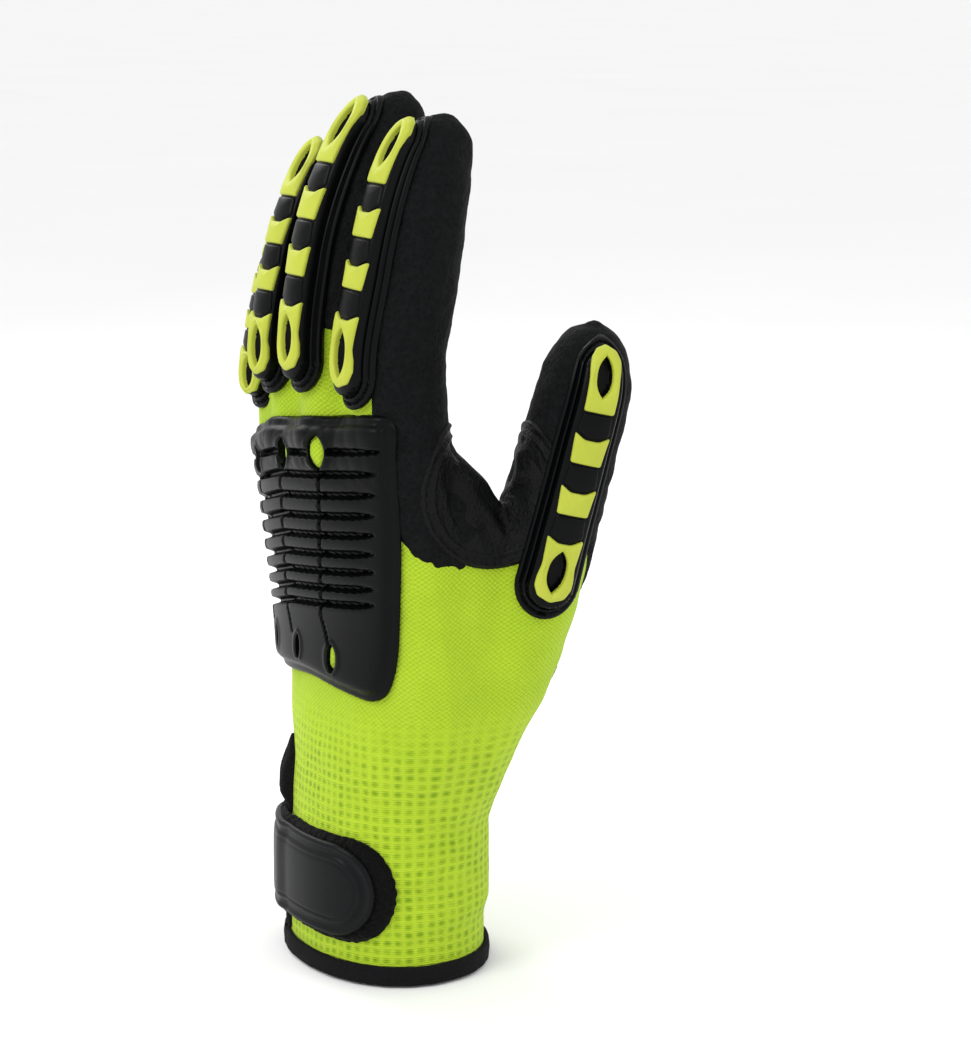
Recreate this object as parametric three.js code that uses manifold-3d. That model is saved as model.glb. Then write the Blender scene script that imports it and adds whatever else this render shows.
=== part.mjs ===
// Impact glove for the left hand: knitted liner with a ribbed cuff, dipped coating on the palm side,
// moulded impact guards on the back, and a hook-and-loop wrist strap over a bound slit.
// Millimetres. The origin is the centre of the cuff's opening at the hem, +Z runs to the fingertips,
// -Y is the back of the hand, +Y the palm side and +X the thumb side.

import * as THREE from 'three';
import { mergeVertices } from 'three/addons/utils/BufferGeometryUtils.js';
import Module from 'manifold-3d';

const wasm = await Module();
wasm.setup();

// Driving dimensions of the hand form
const cuffHeight = 73;
const palmLength = 107;
const cuffWidth = 69;
const cuffDepth = 54;
const palmWidth = 88;
const palmDepth = 44;

// Length of each finger from its root in the hand, its width and its depth at the root
const indexLength = 97;
const middleLength = 102;
const ringLength = 91;
const littleLength = 71;
const thumbLength = 140;
const indexWidth = 23;
const middleWidth = 23;
const ringWidth = 22;
const littleWidth = 20;
const thumbWidth = 26;
const fingerDepth = 27;
const littleDepth = 22;
const thumbDepth = 27;

// Walls and clearances
const knitWall = 1.6;
const coatWall = 0.9;
const patchWall = 0.8;
const fitGap = 0.3;
const facetSlack = 0.03;

// Guards
const guardWidth = 18.5;
const guardBodyWidth = 9.6;
const thumbBodyWidth = 8.2;
const flangeHeight = 2.2;
const guardHeight = 5;
const guardLength = 78;
const thumbGuardLength = 77;
const eyeletLength = 9.5;
const eyeletWidth = 4.4;
const notchDepth = 1.6;
const insertLift = 0.3;

// Knuckle plate
const plateWidth = 70;
const plateTop = 168.3;
const plateBottom = 84.5;
const plateHeight = 4.6;
const plateRim = 2;
const plateRimWidth = 3.6;
const grooveCount = 9;
const groovePitch = 5.65;
const grooveWidth = 1.9;
const grooveDepth = 2.2;
const grooveTop = 157.6;
const plateEyeletLength = 10;
const plateEyeletWidth = 4.6;

// Wrist strap, slit and hem
const strapHeight = 32;
const strapMiddle = 28;
const strapThickness = 1.5;
const tabHeight = 28;
const tabThickness = 1.8;
const tabMargin = 5;
const panelHeight = 16;
const panelLift = 0.8;
const slitHeight = 61;
const slitWidth = 2.4;
const slitBorder = 3.6;
const slitPoint = 6;
const bindingThickness = 0.9;
const hemHeight = 6;

// Colours read as plain finishes
const finishes = {
  knit: { color: 0xafcb2e, roughness: 0.9, metalness: 0 },
  coating: { color: 0x1b1b1b, roughness: 0.7, metalness: 0 },
  guard: { color: 0x1f2224, roughness: 0.5, metalness: 0 },
  insert: { color: 0xc4cf4f, roughness: 0.5, metalness: 0 },
  patch: { color: 0x111315, roughness: 0.6, metalness: 0 },
  strap: { color: 0x0f120e, roughness: 0.95, metalness: 0 },
  tab: { color: 0x27292d, roughness: 0.45, metalness: 0 },
  binding: { color: 0x1c1b1f, roughness: 0.85, metalness: 0 },
};

const glove = new THREE.Group();

// Solids and meshes

function solidFrom(geometry) {
  const bare = geometry.clone();
  bare.deleteAttribute('normal');
  bare.deleteAttribute('uv');
  const merged = mergeVertices(bare, 1e-4);
  const vertProperties = new Float32Array(merged.attributes.position.array);
  const triVerts = new Uint32Array(merged.index.array);
  const solid = new wasm.Manifold(new wasm.Mesh({ numProp: 3, vertProperties, triVerts }));
  if (solid.volume() >= 0) return solid;
  triVerts.reverse();
  return new wasm.Manifold(new wasm.Mesh({ numProp: 3, vertProperties, triVerts }));
}

function addPiece(name, solid, finish) {
  const mesh = solid.simplify(facetSlack).getMesh();
  const geometry = new THREE.BufferGeometry();
  geometry.setAttribute('position', new THREE.BufferAttribute(mesh.vertProperties, 3));
  geometry.setIndex(new THREE.BufferAttribute(mesh.triVerts, 1));
  geometry.computeVertexNormals();
  const piece = new THREE.Mesh(geometry, new THREE.MeshStandardMaterial(finishes[finish]));
  piece.name = name;
  glove.add(piece);
}

// A closed solid through rings of equally many points. The ends are fans round their middle, or the
// given faces where a section isn't convex.
function loftSolid(rings, endFaces) {
  const sides = rings[0].length;
  const points = rings.flat();
  const triangles = [];
  for (let row = 0; row + 1 < rings.length; row += 1) {
    for (let side = 0; side < sides; side += 1) {
      const next = (side + 1) % sides;
      const a = row * sides + side;
      const b = row * sides + next;
      triangles.push(a, b, b + sides, a, b + sides, a + sides);
    }
  }
  const centre = (ring) => ring.reduce((sum, point) => sum.add(point), new THREE.Vector3())
    .divideScalar(sides);
  const last = (rings.length - 1) * sides;
  if (endFaces) {
    endFaces.forEach(([a, b, c]) => {
      triangles.push(c, b, a, last + a, last + b, last + c);
    });
  } else {
    points.push(centre(rings[0]), centre(rings[rings.length - 1]));
    for (let side = 0; side < sides; side += 1) {
      const next = (side + 1) % sides;
      triangles.push(next, side, points.length - 2);
      triangles.push(last + side, last + next, points.length - 1);
    }
  }
  const geometry = new THREE.BufferGeometry().setFromPoints(points);
  geometry.setIndex(triangles);
  return solidFrom(geometry);
}

// Linear look-up in a table of rows that is sorted by its first column
function lookUp(table, column, at) {
  const first = table[0];
  const key = Object.keys(first)[0];
  if (at <= first[key]) return first[column];
  for (let row = 1; row < table.length; row += 1) {
    if (at <= table[row][key]) {
      const share = (at - table[row - 1][key]) / (table[row][key] - table[row - 1][key]);
      return table[row - 1][column] + share * (table[row][column] - table[row - 1][column]);
    }
  }
  return table[table.length - 1][column];
}

// Form of the cuff and the hand: height, half width, half depth and centre, as lengths made of the
// named sizes. Angle 0 of a section is the middle of the back, a quarter turn is the thumb side.
const wristTo = (share) => cuffHeight + share * palmLength;
const bodyTable = [
  { z: 0, a: 0.5 * cuffWidth, b: 0.5 * cuffDepth, x: 0, y: 0 },
  { z: 0.41 * cuffHeight, a: 0.49 * cuffWidth, b: 0.505 * cuffDepth, x: 0, y: 0.5 },
  { z: 0.72 * cuffHeight, a: 0.5 * cuffWidth, b: 0.48 * cuffDepth, x: 0.5, y: 0.5 },
  { z: cuffHeight, a: 0.425 * palmWidth, b: 0.55 * palmDepth, x: 1.5, y: 0 },
  { z: wristTo(0.16), a: 0.465 * palmWidth, b: 0.465 * palmDepth, x: 1.5, y: -2 },
  { z: wristTo(0.35), a: 0.49 * palmWidth, b: 0.41 * palmDepth, x: 1, y: -4.5 },
  { z: wristTo(0.56), a: 0.5 * palmWidth, b: 0.4 * palmDepth, x: 1, y: -7.5 },
  { z: wristTo(0.75), a: 0.5 * palmWidth, b: 0.37 * palmDepth, x: 1, y: -10.5 },
  { z: wristTo(0.9), a: 0.485 * palmWidth, b: 0.32 * palmDepth, x: 1, y: -12 },
  { z: wristTo(1), a: 0.44 * palmWidth, b: 0.2 * palmDepth, x: 1, y: -12.5 },
];
const bodySides = 20;
const bodyPower = 0.94;
const signedPower = (value, power) => Math.sign(value) * Math.abs(value) ** power;

function bodyPoint(z, angle, offset) {
  const a = lookUp(bodyTable, 'a', z) + offset;
  const b = lookUp(bodyTable, 'b', z) + offset;
  return new THREE.Vector3(
    lookUp(bodyTable, 'x', z) + a * signedPower(Math.sin(angle), bodyPower),
    lookUp(bodyTable, 'y', z) - b * signedPower(Math.cos(angle), bodyPower),
    z,
  );
}

function bodySolid(offset, below) {
  const top = bodyTable[bodyTable.length - 1].z;
  const heights = bodyTable.map((row) => row.z);
  heights[0] = -below;
  heights[heights.length - 1] = top + 0.6 * offset;
  const rings = heights.map((z) => {
    const ring = [];
    for (let side = 0; side < bodySides; side += 1) {
      const angle = (2 * Math.PI * side) / bodySides;
      const point = bodyPoint(z, angle, offset);
      ring.push(point);
    }
    return ring;
  });
  return loftSolid(rings);
}

// Fingers: route of the middle line as offsets from the root, in shares of the finger's length, and
// the guard's facing direction. Half sizes along the finger are shares of its width and depth.
const knuckleZ = wristTo(0.78);
const backWards = new THREE.Vector3(0, -1, 0);
const fingers = {
  index: {
    length: indexLength,
    width: indexWidth,
    depth: fingerDepth,
    root: new THREE.Vector3(30.5, -13, knuckleZ),
    route: [
      { along: -0.2, x: 0, y: 0.1 },
      { along: 0, x: 0, y: 0.02 },
      { along: 0.3, x: 0.01, y: 0 },
      { along: 0.55, x: 0.02, y: 0.04 },
      { along: 0.8, x: 0.02, y: 0.1 },
      { along: 1, x: 0.02, y: 0.17 },
    ],
    facing: backWards,
  },
  middle: {
    length: middleLength,
    width: middleWidth,
    depth: fingerDepth,
    root: new THREE.Vector3(9, -17.5, knuckleZ),
    route: [
      { along: -0.2, x: 0, y: 0.1 },
      { along: 0, x: 0, y: 0.02 },
      { along: 0.3, x: 0, y: 0 },
      { along: 0.55, x: 0, y: 0.03 },
      { along: 0.8, x: 0, y: 0.11 },
      { along: 1, x: 0, y: 0.21 },
    ],
    facing: backWards,
  },
  ring: {
    length: ringLength,
    width: ringWidth,
    depth: 0.96 * fingerDepth,
    root: new THREE.Vector3(-12, -16.5, knuckleZ),
    route: [
      { along: -0.2, x: 0, y: 0.1 },
      { along: 0, x: 0, y: 0.02 },
      { along: 0.3, x: -0.005, y: 0 },
      { along: 0.55, x: -0.01, y: 0.04 },
      { along: 0.8, x: -0.015, y: 0.12 },
      { along: 1, x: -0.02, y: 0.22 },
    ],
    facing: backWards,
  },
  little: {
    length: littleLength,
    width: littleWidth,
    depth: littleDepth,
    root: new THREE.Vector3(-31, -13, knuckleZ - 0.06 * littleLength),
    route: [
      { along: -0.2, x: 0, y: 0.1 },
      { along: 0, x: 0, y: 0.02 },
      { along: 0.3, x: -0.01, y: 0.02 },
      { along: 0.55, x: -0.02, y: 0.06 },
      { along: 0.8, x: -0.03, y: 0.13 },
      { along: 1, x: -0.03, y: 0.22 },
    ],
    facing: backWards,
  },
};
const fingerSizes = [
  { along: -0.2, size: 0.84 },
  { along: 0.1, size: 1 },
  { along: 0.43, size: 0.98 },
  { along: 0.7, size: 0.92 },
  { along: 0.85, size: 0.79 },
  { along: 0.94, size: 0.6 },
  { along: 0.985, size: 0.36 },
  { along: 1, size: 0.12 },
];

// The thumb rises from the ball of the palm
const thumb = {
  length: thumbLength,
  width: thumbWidth,
  depth: thumbDepth,
  root: new THREE.Vector3(17, 9, 55),
  route: [
    { along: 0, x: 0, y: 0 },
    { along: 0.15, x: 0.055, y: 0.05 },
    { along: 0.3, x: 0.12, y: 0.09 },
    { along: 0.45, x: 0.175, y: 0.115 },
    { along: 0.6, x: 0.21, y: 0.14 },
    { along: 0.75, x: 0.235, y: 0.17 },
    { along: 0.9, x: 0.25, y: 0.205 },
    { along: 1, x: 0.255, y: 0.22 },
  ],
  facing: new THREE.Vector3(0.95, -0.31, 0),
};
const thumbSizes = [
  { along: -0.05, size: 0.9 },
  { along: 0.08, size: 1.16 },
  { along: 0.22, size: 1.25 },
  { along: 0.42, size: 1.16 },
  { along: 0.6, size: 1.04 },
  { along: 0.87, size: 0.96 },
  { along: 0.945, size: 0.77 },
  { along: 0.985, size: 0.48 },
  { along: 1, size: 0.12 },
];
const fingerSides = 10;
fingers.thumb = thumb;
Object.values(fingers).forEach((finger) => {
  finger.sizes = finger === thumb ? thumbSizes : fingerSizes;
});

function routePoint(finger, along) {
  return new THREE.Vector3(
    finger.root.x + finger.length * lookUp(finger.route, 'x', along),
    finger.root.y + finger.length * lookUp(finger.route, 'y', along),
    finger.root.z + finger.length * along,
  );
}

// Middle line, side and outward directions of a finger at one share of its length
function fingerFrame(finger, along) {
  const step = 0.1;
  const before = routePoint(finger, Math.max(along - step, -0.3));
  const after = routePoint(finger, Math.min(along + step, 1));
  const forward = after.sub(before).normalize();
  const outward = finger.facing.clone().addScaledVector(forward, -finger.facing.dot(forward))
    .normalize();
  const side = new THREE.Vector3().crossVectors(forward, outward).negate();
  return { centre: routePoint(finger, along), forward, outward, side };
}

// A point on a finger: angle 0 is the middle of its back, offset is the height over the knit
function fingerPoint(finger, along, angle, offset) {
  const frame = fingerFrame(finger, along);
  const size = lookUp(finger.sizes, 'size', along);
  const across = 0.5 * finger.width * size + offset;
  const deep = 0.5 * finger.depth * size + offset;
  return frame.centre.addScaledVector(frame.side, across * Math.sin(angle))
    .addScaledVector(frame.outward, deep * Math.cos(angle));
}

function fingerSolid(finger, offset) {
  const alongs = finger.sizes.map((row) => row.along);
  const rings = alongs.map((along, row) => {
    const ring = [];
    const tip = row === alongs.length - 1;
    for (let side = 0; side < fingerSides; side += 1) {
      const angle = (2 * Math.PI * side) / fingerSides;
      const point = fingerPoint(finger, along, angle, tip ? Math.max(offset, -1) : offset);
      point.z += Math.max(along, 0) ** 6 * offset;
      ring.push(point);
    }
    return ring;
  });
  return loftSolid(rings);
}

// Saddle between the hand and the thumb: its top and half thickness from the hand to the thumb
const crotchBottom = 62;
const crotchDepth = 24;
const crotchTable = [
  { share: 0, top: 0.85, half: 0.34 },
  { share: 0.3, top: 0.76, half: 0.42 },
  { share: 0.6, top: 0.655, half: 0.46 },
  { share: 1, top: 0.72, half: 0.44 },
];
const webSides = 8;

function thumbWeb(offset) {
  const rings = crotchTable.map((row) => {
    const top = wristTo(row.top) + offset;
    const low = crotchBottom - offset;
    const ring = [];
    for (let side = 0; side < webSides; side += 1) {
      const angle = (2 * Math.PI * side) / webSides;
      const z = 0.5 * (top + low) + 0.5 * (top - low) * signedPower(Math.cos(angle), 0.75);
      const near = new THREE.Vector3(0.4 * palmWidth, -0.1 * palmDepth, z);
      const far = routePoint(thumb, (z - thumb.root.z) / thumb.length);
      const axis = far.clone().sub(near);
      const across = new THREE.Vector3(axis.y, -axis.x, 0).normalize();
      const half = row.half * crotchDepth + offset;
      ring.push(near.lerp(far, row.share).addScaledVector(across, half * Math.sin(angle)));
    }
    return ring;
  });
  return loftSolid(rings);
}

// The whole hand form, grown by an offset; the cuff runs down below the hem by a length
const handForms = new Map();
function handSolid(offset, below = 0) {
  const key = `${offset} ${below}`;
  if (!handForms.has(key)) {
    let hand = bodySolid(offset, below);
    Object.values(fingers).forEach((finger) => {
      hand = hand.add(fingerSolid(finger, offset));
    });
    handForms.set(key, hand.add(thumbWeb(offset)));
  }
  return handForms.get(key);
}

// Helpers for worn-on pieces

// A closed ring through sections that return to the first one
function ringSolid(sections) {
  const sides = sections[0].length;
  const triangles = [];
  sections.forEach((section, row) => {
    const after = (row + 1) % sections.length;
    for (let side = 0; side < sides; side += 1) {
      const next = (side + 1) % sides;
      const a = row * sides + side;
      const b = row * sides + next;
      const c = after * sides + next;
      const d = after * sides + side;
      triangles.push(a, b, c, a, c, d);
    }
  });
  const geometry = new THREE.BufferGeometry().setFromPoints(sections.flat());
  geometry.setIndex(triangles);
  return solidFrom(geometry);
}

function boxSolid(low, high) {
  const size = high.clone().sub(low);
  const geometry = new THREE.BoxGeometry(size.x, size.y, size.z);
  geometry.translate(0.5 * (low.x + high.x), 0.5 * (low.y + high.y), 0.5 * (low.z + high.z));
  return solidFrom(geometry);
}

// A flat outline of side and length coordinates, raised between two heights and bent by a placing
// function of side, length and height
function bentOutline(shape, low, high, place) {
  const geometry = new THREE.ExtrudeGeometry(shape, {
    depth: high - low,
    bevelEnabled: false,
    curveSegments: 3,
  });
  const places = geometry.attributes.position;
  for (let index = 0; index < places.count; index += 1) {
    const point = place(places.getX(index), places.getY(index), low + places.getZ(index));
    places.setXYZ(index, point.x, point.y, point.z);
  }
  return solidFrom(geometry);
}

// A strip along a placing function: each station has a length and a list of side and height pairs
function bentStrip(stations, place) {
  return loftSolid(stations.map(({ at, section }) => (
    section.map(([side, height]) => place(side, at, height)))));
}

function outline(points) {
  return new THREE.Shape(points.map(([x, y]) => new THREE.Vector2(x, y)));
}

// Knit liner, slit at the back of the cuff
const slitAngle = -0.56;
const cuffRadius = 0.25 * (cuffWidth + cuffDepth);
const onCuff = (side, z, height) => bodyPoint(z, slitAngle + side / cuffRadius, height);
const slit = bentOutline(outline([
  [-0.5 * slitWidth, -2],
  [0.5 * slitWidth, -2],
  [0.12 * slitWidth, slitHeight],
  [-0.12 * slitWidth, slitHeight],
]), -3 * knitWall, 4 * knitWall, onCuff);
const hemFold = bindingThickness;
const knit = handSolid(0, -(hemFold + fitGap))
  .subtract(handSolid(-knitWall, 10))
  .subtract(slit);
addPiece('knit_liner', knit, 'knit');

// Coating: its lower edge round the hand, angle 0 at the middle of the back, in quarter turns
const coatInner = fitGap;
const coatOuter = coatInner + coatWall;
const coatEdge = [
  { angle: 0, height: 1.13 },
  { angle: 0.57, height: 1.13 },
  { angle: 0.61, height: 0.66 },
  { angle: 0.78, height: 0.55 },
  { angle: 0.98, height: 0.5 },
  { angle: 1.1, height: 0.6 },
  { angle: 1.2, height: 0.64 },
  { angle: 1.36, height: 0.56 },
  { angle: 1.5, height: 0.36 },
  { angle: 1.64, height: 0.15 },
  { angle: 1.78, height: -0.03 },
  { angle: 1.9, height: -0.13 },
  { angle: 2.05, height: -0.16 },
  { angle: 2.3, height: -0.155 },
  { angle: 2.6, height: -0.12 },
  { angle: 2.9, height: -0.07 },
  { angle: 3.03, height: -0.04 },
  { angle: 3.1, height: 1.13 },
  { angle: 3.6, height: 1.13 },
];
const edgeCentre = new THREE.Vector2(0.057 * palmWidth, 0);
const crownInner = 0.05 * palmWidth;
const crownOuter = 1.7 * palmWidth;
const crownTop = 2.2 * (cuffHeight + palmLength);

// The space of the coating, with its edge turned back and lowered by a clearance
function coatRegion(clearance) {
  const edge = ringSolid(coatEdge.map((row) => {
    const turn = 0.5 * Math.PI * row.angle - (2 * clearance) / palmWidth;
    const bottom = wristTo(row.height) - clearance;
    const corners = [
      [crownInner, bottom],
      [crownOuter, bottom],
      [crownOuter, crownTop],
      [crownInner, crownTop],
    ];
    return corners.map(([radius, z]) => new THREE.Vector3(
      edgeCentre.x + radius * Math.sin(turn),
      edgeCentre.y - radius * Math.cos(turn),
      z,
    ));
  }));
  const low = wristTo(coatEdge[0].height) - clearance;
  return edge.add(boxSolid(
    new THREE.Vector3(-0.7 * palmWidth, -0.7 * palmWidth, low),
    new THREE.Vector3(0.7 * palmWidth, 0.7 * palmWidth, 0.95 * crownTop),
  ));
}
const coating = handSolid(coatOuter).subtract(handSolid(coatInner)).intersect(coatRegion(0));
addPiece('latex_coating', coating, 'coating');

// Finger guards
const guardSeat = coatOuter + fitGap;
const guardParts = [
  { name: 'base_loop', from: 0.077, to: 0.3 },
  { name: 'inner_band', from: 0.38, to: 0.478 },
  { name: 'outer_band', from: 0.557, to: 0.66 },
  { name: 'tip_loop', from: 0.736, to: 0.974 },
];
const guardSpans = {
  index: { from: 0.188, length: guardLength },
  middle: { from: 0.2, length: 1.01 * guardLength },
  ring: { from: 0.19, length: 0.88 * guardLength },
  little: { from: 0.185, length: 0.7 * guardLength },
  thumb: { from: 0.44, length: thumbGuardLength, body: thumbBodyWidth },
};

// Half width of a strip with round ends at a distance along it
function roundEnd(at, length, half) {
  const inset = Math.min(at, length - at);
  if (inset >= half) return half;
  return Math.max(Math.sqrt(half * half - (half - inset) ** 2), 0.3 * half);
}

// The low flange of a guard: a strip with round ends and chamfered sides
const guardStations = [0, 0.06, 0.2, 0.42, 0.62, 0.78, 0.9, 0.96, 1];
function guardStrip(length, place, half, height) {
  const stations = guardStations.map((share) => {
    const at = share * length;
    const side = roundEnd(at, length, half);
    const seat = Math.min(0.55 * guardBodyWidth, 0.6 * side);
    return {
      at,
      section: [
        [-side, -1],
        [side, -1],
        [side, 0.6 * height],
        [seat, height],
        [-seat, height],
        [-side, 0.6 * height],
      ],
    };
  });
  return bentStrip(stations, place);
}

function loopOutline(from, to, half, tipUp, scale) {
  const middle = 0.5 * (from + to);
  const shape = tipUp
    ? outline([
      [-0.8 * half, from],
      [0.8 * half, from],
      [half, middle],
      [0.95 * half, to - 0.8 * half],
      [0.55 * half, to - 0.2 * half],
      [0, to],
      [-0.55 * half, to - 0.2 * half],
      [-0.95 * half, to - 0.8 * half],
      [-half, middle],
    ])
    : outline([
      [0, from],
      [0.6 * half, from + 0.25 * half],
      [half, from + 1.1 * half],
      [0.92 * half, middle],
      [half, to],
      [0.4 * half, to - notchDepth],
      [-0.4 * half, to - notchDepth],
      [-half, to],
      [-0.92 * half, middle],
      [-half, from + 1.1 * half],
      [-0.6 * half, from + 0.25 * half],
    ]);
  const eyeLong = scale * eyeletLength;
  const eyeMiddle = tipUp ? to - 0.8 * eyeLong : from + 0.75 * eyeLong;
  const eye = new THREE.Path();
  eye.absellipse(0, eyeMiddle, 0.5 * eyeletWidth, 0.5 * eyeLong, 0, 2 * Math.PI, true);
  shape.holes.push(eye);
  return shape;
}

function bandOutline(from, to, half) {
  return outline([
    [-0.85 * half, from],
    [0.85 * half, from],
    [half, to],
    [0.4 * half, to - notchDepth],
    [-0.4 * half, to - notchDepth],
    [-half, to],
  ]);
}

// A place on a finger by the side distance, the length along the guard and the height over its seat
const onFinger = (key) => (side, at, height) => {
  const finger = fingers[key];
  const radius = 0.25 * (finger.width + finger.depth) + guardSeat;
  const along = guardSpans[key].from + at / finger.length;
  return fingerPoint(finger, along, side / radius, guardSeat + height);
};

const guardEnvelope = handSolid(guardSeat);
Object.entries(guardSpans).forEach(([key, span]) => {
  const place = onFinger(key);
  const scale = span.length / guardLength;
  const half = 0.5 * (span.body ?? guardBodyWidth);
  let base = guardStrip(span.length, place, 0.5 * guardWidth, flangeHeight);
  guardParts.slice(1).forEach((part, number) => {
    const low = guardParts[number].to * span.length;
    const high = part.from * span.length;
    base = base.add(bentOutline(outline([
      [-half, low + fitGap],
      [-0.4 * half, low + fitGap - notchDepth],
      [0.4 * half, low + fitGap - notchDepth],
      [half, low + fitGap],
      [0.85 * half, high - fitGap],
      [-0.85 * half, high - fitGap],
    ]), 0.5, guardHeight, place));
  });
  addPiece(`${key}_guard_base`, base.subtract(guardEnvelope), 'guard');
  const seat = guardStrip(span.length, place, 0.5 * guardWidth, flangeHeight + fitGap);
  guardParts.forEach((part) => {
    const from = part.from * span.length;
    const to = part.to * span.length;
    const shape = part.name.endsWith('loop')
      ? loopOutline(from, to, half, part.name === 'tip_loop', scale)
      : bandOutline(from, to, half);
    const insert = part.name === 'tip_loop'
      ? bentOutline(shape, flangeHeight, guardHeight + insertLift, place).subtract(seat)
      : bentOutline(shape, flangeHeight + fitGap, guardHeight + insertLift, place);
    addPiece(`${key}_${part.name}`, insert, 'insert');
  });
});

// Saddle patch sewn over the thumb crotch, clear of the thumb guard
const patchInner = guardSeat;
const patchRadius = 23;
const patchCentre = new THREE.Vector3(0.52 * palmWidth, 9, wristTo(0.72));
const patchBall = new THREE.SphereGeometry(patchRadius, 12, 8);
patchBall.translate(patchCentre.x, patchCentre.y, patchCentre.z);
const onThumb = onFinger('thumb');
const thumbGuardRoom = guardStrip(
  thumbGuardLength + 2 * fitGap,
  (side, at, height) => onThumb(side, at - fitGap, height),
  0.5 * guardWidth + fitGap,
  flangeHeight + fitGap,
);
const patch = handSolid(patchInner + patchWall)
  .subtract(handSolid(patchInner))
  .intersect(solidFrom(patchBall))
  .subtract(thumbGuardRoom);
addPiece('thumb_crotch_patch', patch, 'patch');

// Knuckle plate on the back of the hand: x across the hand and a share of its height
const plateArch = 3.8;
const plateMiddleX = 2;
const plateCorner = 8;
const plateSlant = 7.5;

// Its top edge and grooves climb towards the thumb side and fall faster on the far side
const plateLean = 0.15;
const plateFall = 0.13;
const plateFallFrom = -8;
const plateRise = (x) => plateLean * (x - plateMiddleX) + plateFall * Math.min(x - plateFallFrom, 0);
const plateSpanAt = (x) => {
  const side = Math.min(Math.abs(x - plateMiddleX) / (0.5 * plateWidth), 1);
  return { low: plateBottom + plateArch * (1 - side ** 2), high: plateTop + plateRise(x) };
};

// The plate's upper side rises over the knuckles, while its underside meets the knit
const knuckleLift = 2.6;
const knuckleTable = [
  { z: wristTo(0.6), lift: 0 },
  { z: wristTo(0.7), lift: 0.5 * knuckleLift },
  { z: wristTo(0.8), lift: knuckleLift },
];
const plateReach = 0.97;
function backPoint(x, z, height) {
  const a = lookUp(bodyTable, 'a', z);
  const middle = lookUp(bodyTable, 'x', z);
  const reach = Math.min(Math.max((x - middle) / a, -plateReach), plateReach);
  const sine = signedPower(reach, 1 / bodyPower);
  const lift = height > 0 ? lookUp(knuckleTable, 'lift', z) : 0;
  return bodyPoint(z, Math.asin(sine), height + lift);
}
const onPlate = (x, share, height) => {
  const { low, high } = plateSpanAt(x);
  return backPoint(x, low + share * (high - low), height);
};
const onLean = (x, z, height) => backPoint(x, z + plateRise(x), height);
const plateLong = plateTop - plateBottom;
const plateStations = [0, 0.45, 1].map((share) => share * plateCorner)
  .concat([0.35 * plateLong, 0.65 * plateLong])
  .concat([1, 0.45, 0].map((share) => plateLong - share * plateCorner))
  .map((at) => {
    const inset = Math.min(at, plateLong - at);
    const cut = inset >= plateCorner ? 0
      : plateCorner - Math.sqrt(plateCorner ** 2 - (plateCorner - inset) ** 2);
    const half = 0.5 * plateWidth - cut;
    const high = inset < plateRimWidth - 0.1 ? plateRim : plateHeight;
    const shoulder = half - plateRimWidth;
    const across = [1, 0.6, 0.2, -0.2, -0.6, -1];
    return {
      at: at / plateLong,
      section: [
        [-half, -2],
        [half, -2],
        [half, 0.8 * plateRim],
        [half - 0.6 * plateRimWidth, plateRim],
        ...across.map((share) => [share * shoulder, high]),
        [-half + 0.6 * plateRimWidth, plateRim],
        [-half, 0.8 * plateRim],
      ].map(([x, height]) => {
        const slant = plateSlant * (at / plateLong - 0.7) * (Math.max(x, 0) / (0.5 * plateWidth));
        return [x + plateMiddleX + slant, height];
      }),
    };
  });
let plate = bentStrip(plateStations, onPlate);
const grooveSide = 0.5 * plateWidth - plateRimWidth;
const grooveFloor = plateHeight - grooveDepth;
for (let groove = 0; groove < grooveCount; groove += 1) {
  const z = grooveTop - groove * groovePitch;
  const stations = [-0.96, -0.45, 0.1, 0.55, 0.96].map((share) => ({
    at: plateMiddleX + share * grooveSide,
    section: [
      [z - 0.5 * grooveWidth, grooveFloor],
      [z + 0.5 * grooveWidth, grooveFloor],
      [z + 0.5 * grooveWidth, plateHeight + 4],
      [z - 0.5 * grooveWidth, plateHeight + 4],
    ],
  }));
  plate = plate.subtract(bentStrip(stations, (z, x, height) => onLean(x, z, height)));
}
const grooveLow = grooveTop - (grooveCount - 1) * groovePitch;
const plateEyelets = [grooveTop, grooveLow - 2.7 * groovePitch];
[-0.32, -0.06, 0.19].map((share) => plateMiddleX + share * plateWidth).forEach((x) => {
  plateEyelets.forEach((z) => {
    const eye = new THREE.Shape();
    eye.moveTo(x, z - 0.5 * plateEyeletLength);
    eye.lineTo(x + 0.5 * plateEyeletWidth, z);
    eye.lineTo(x, z + 0.5 * plateEyeletLength);
    eye.lineTo(x - 0.5 * plateEyeletWidth, z);
    plate = plate.subtract(bentOutline(eye, -3, plateHeight + 4, onLean));
  });
});
const coatUnderPlate = handSolid(guardSeat).intersect(coatRegion(fitGap));
addPiece('knuckle_plate', plate.subtract(handSolid(fitGap)).subtract(coatUnderPlate), 'guard');

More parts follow.
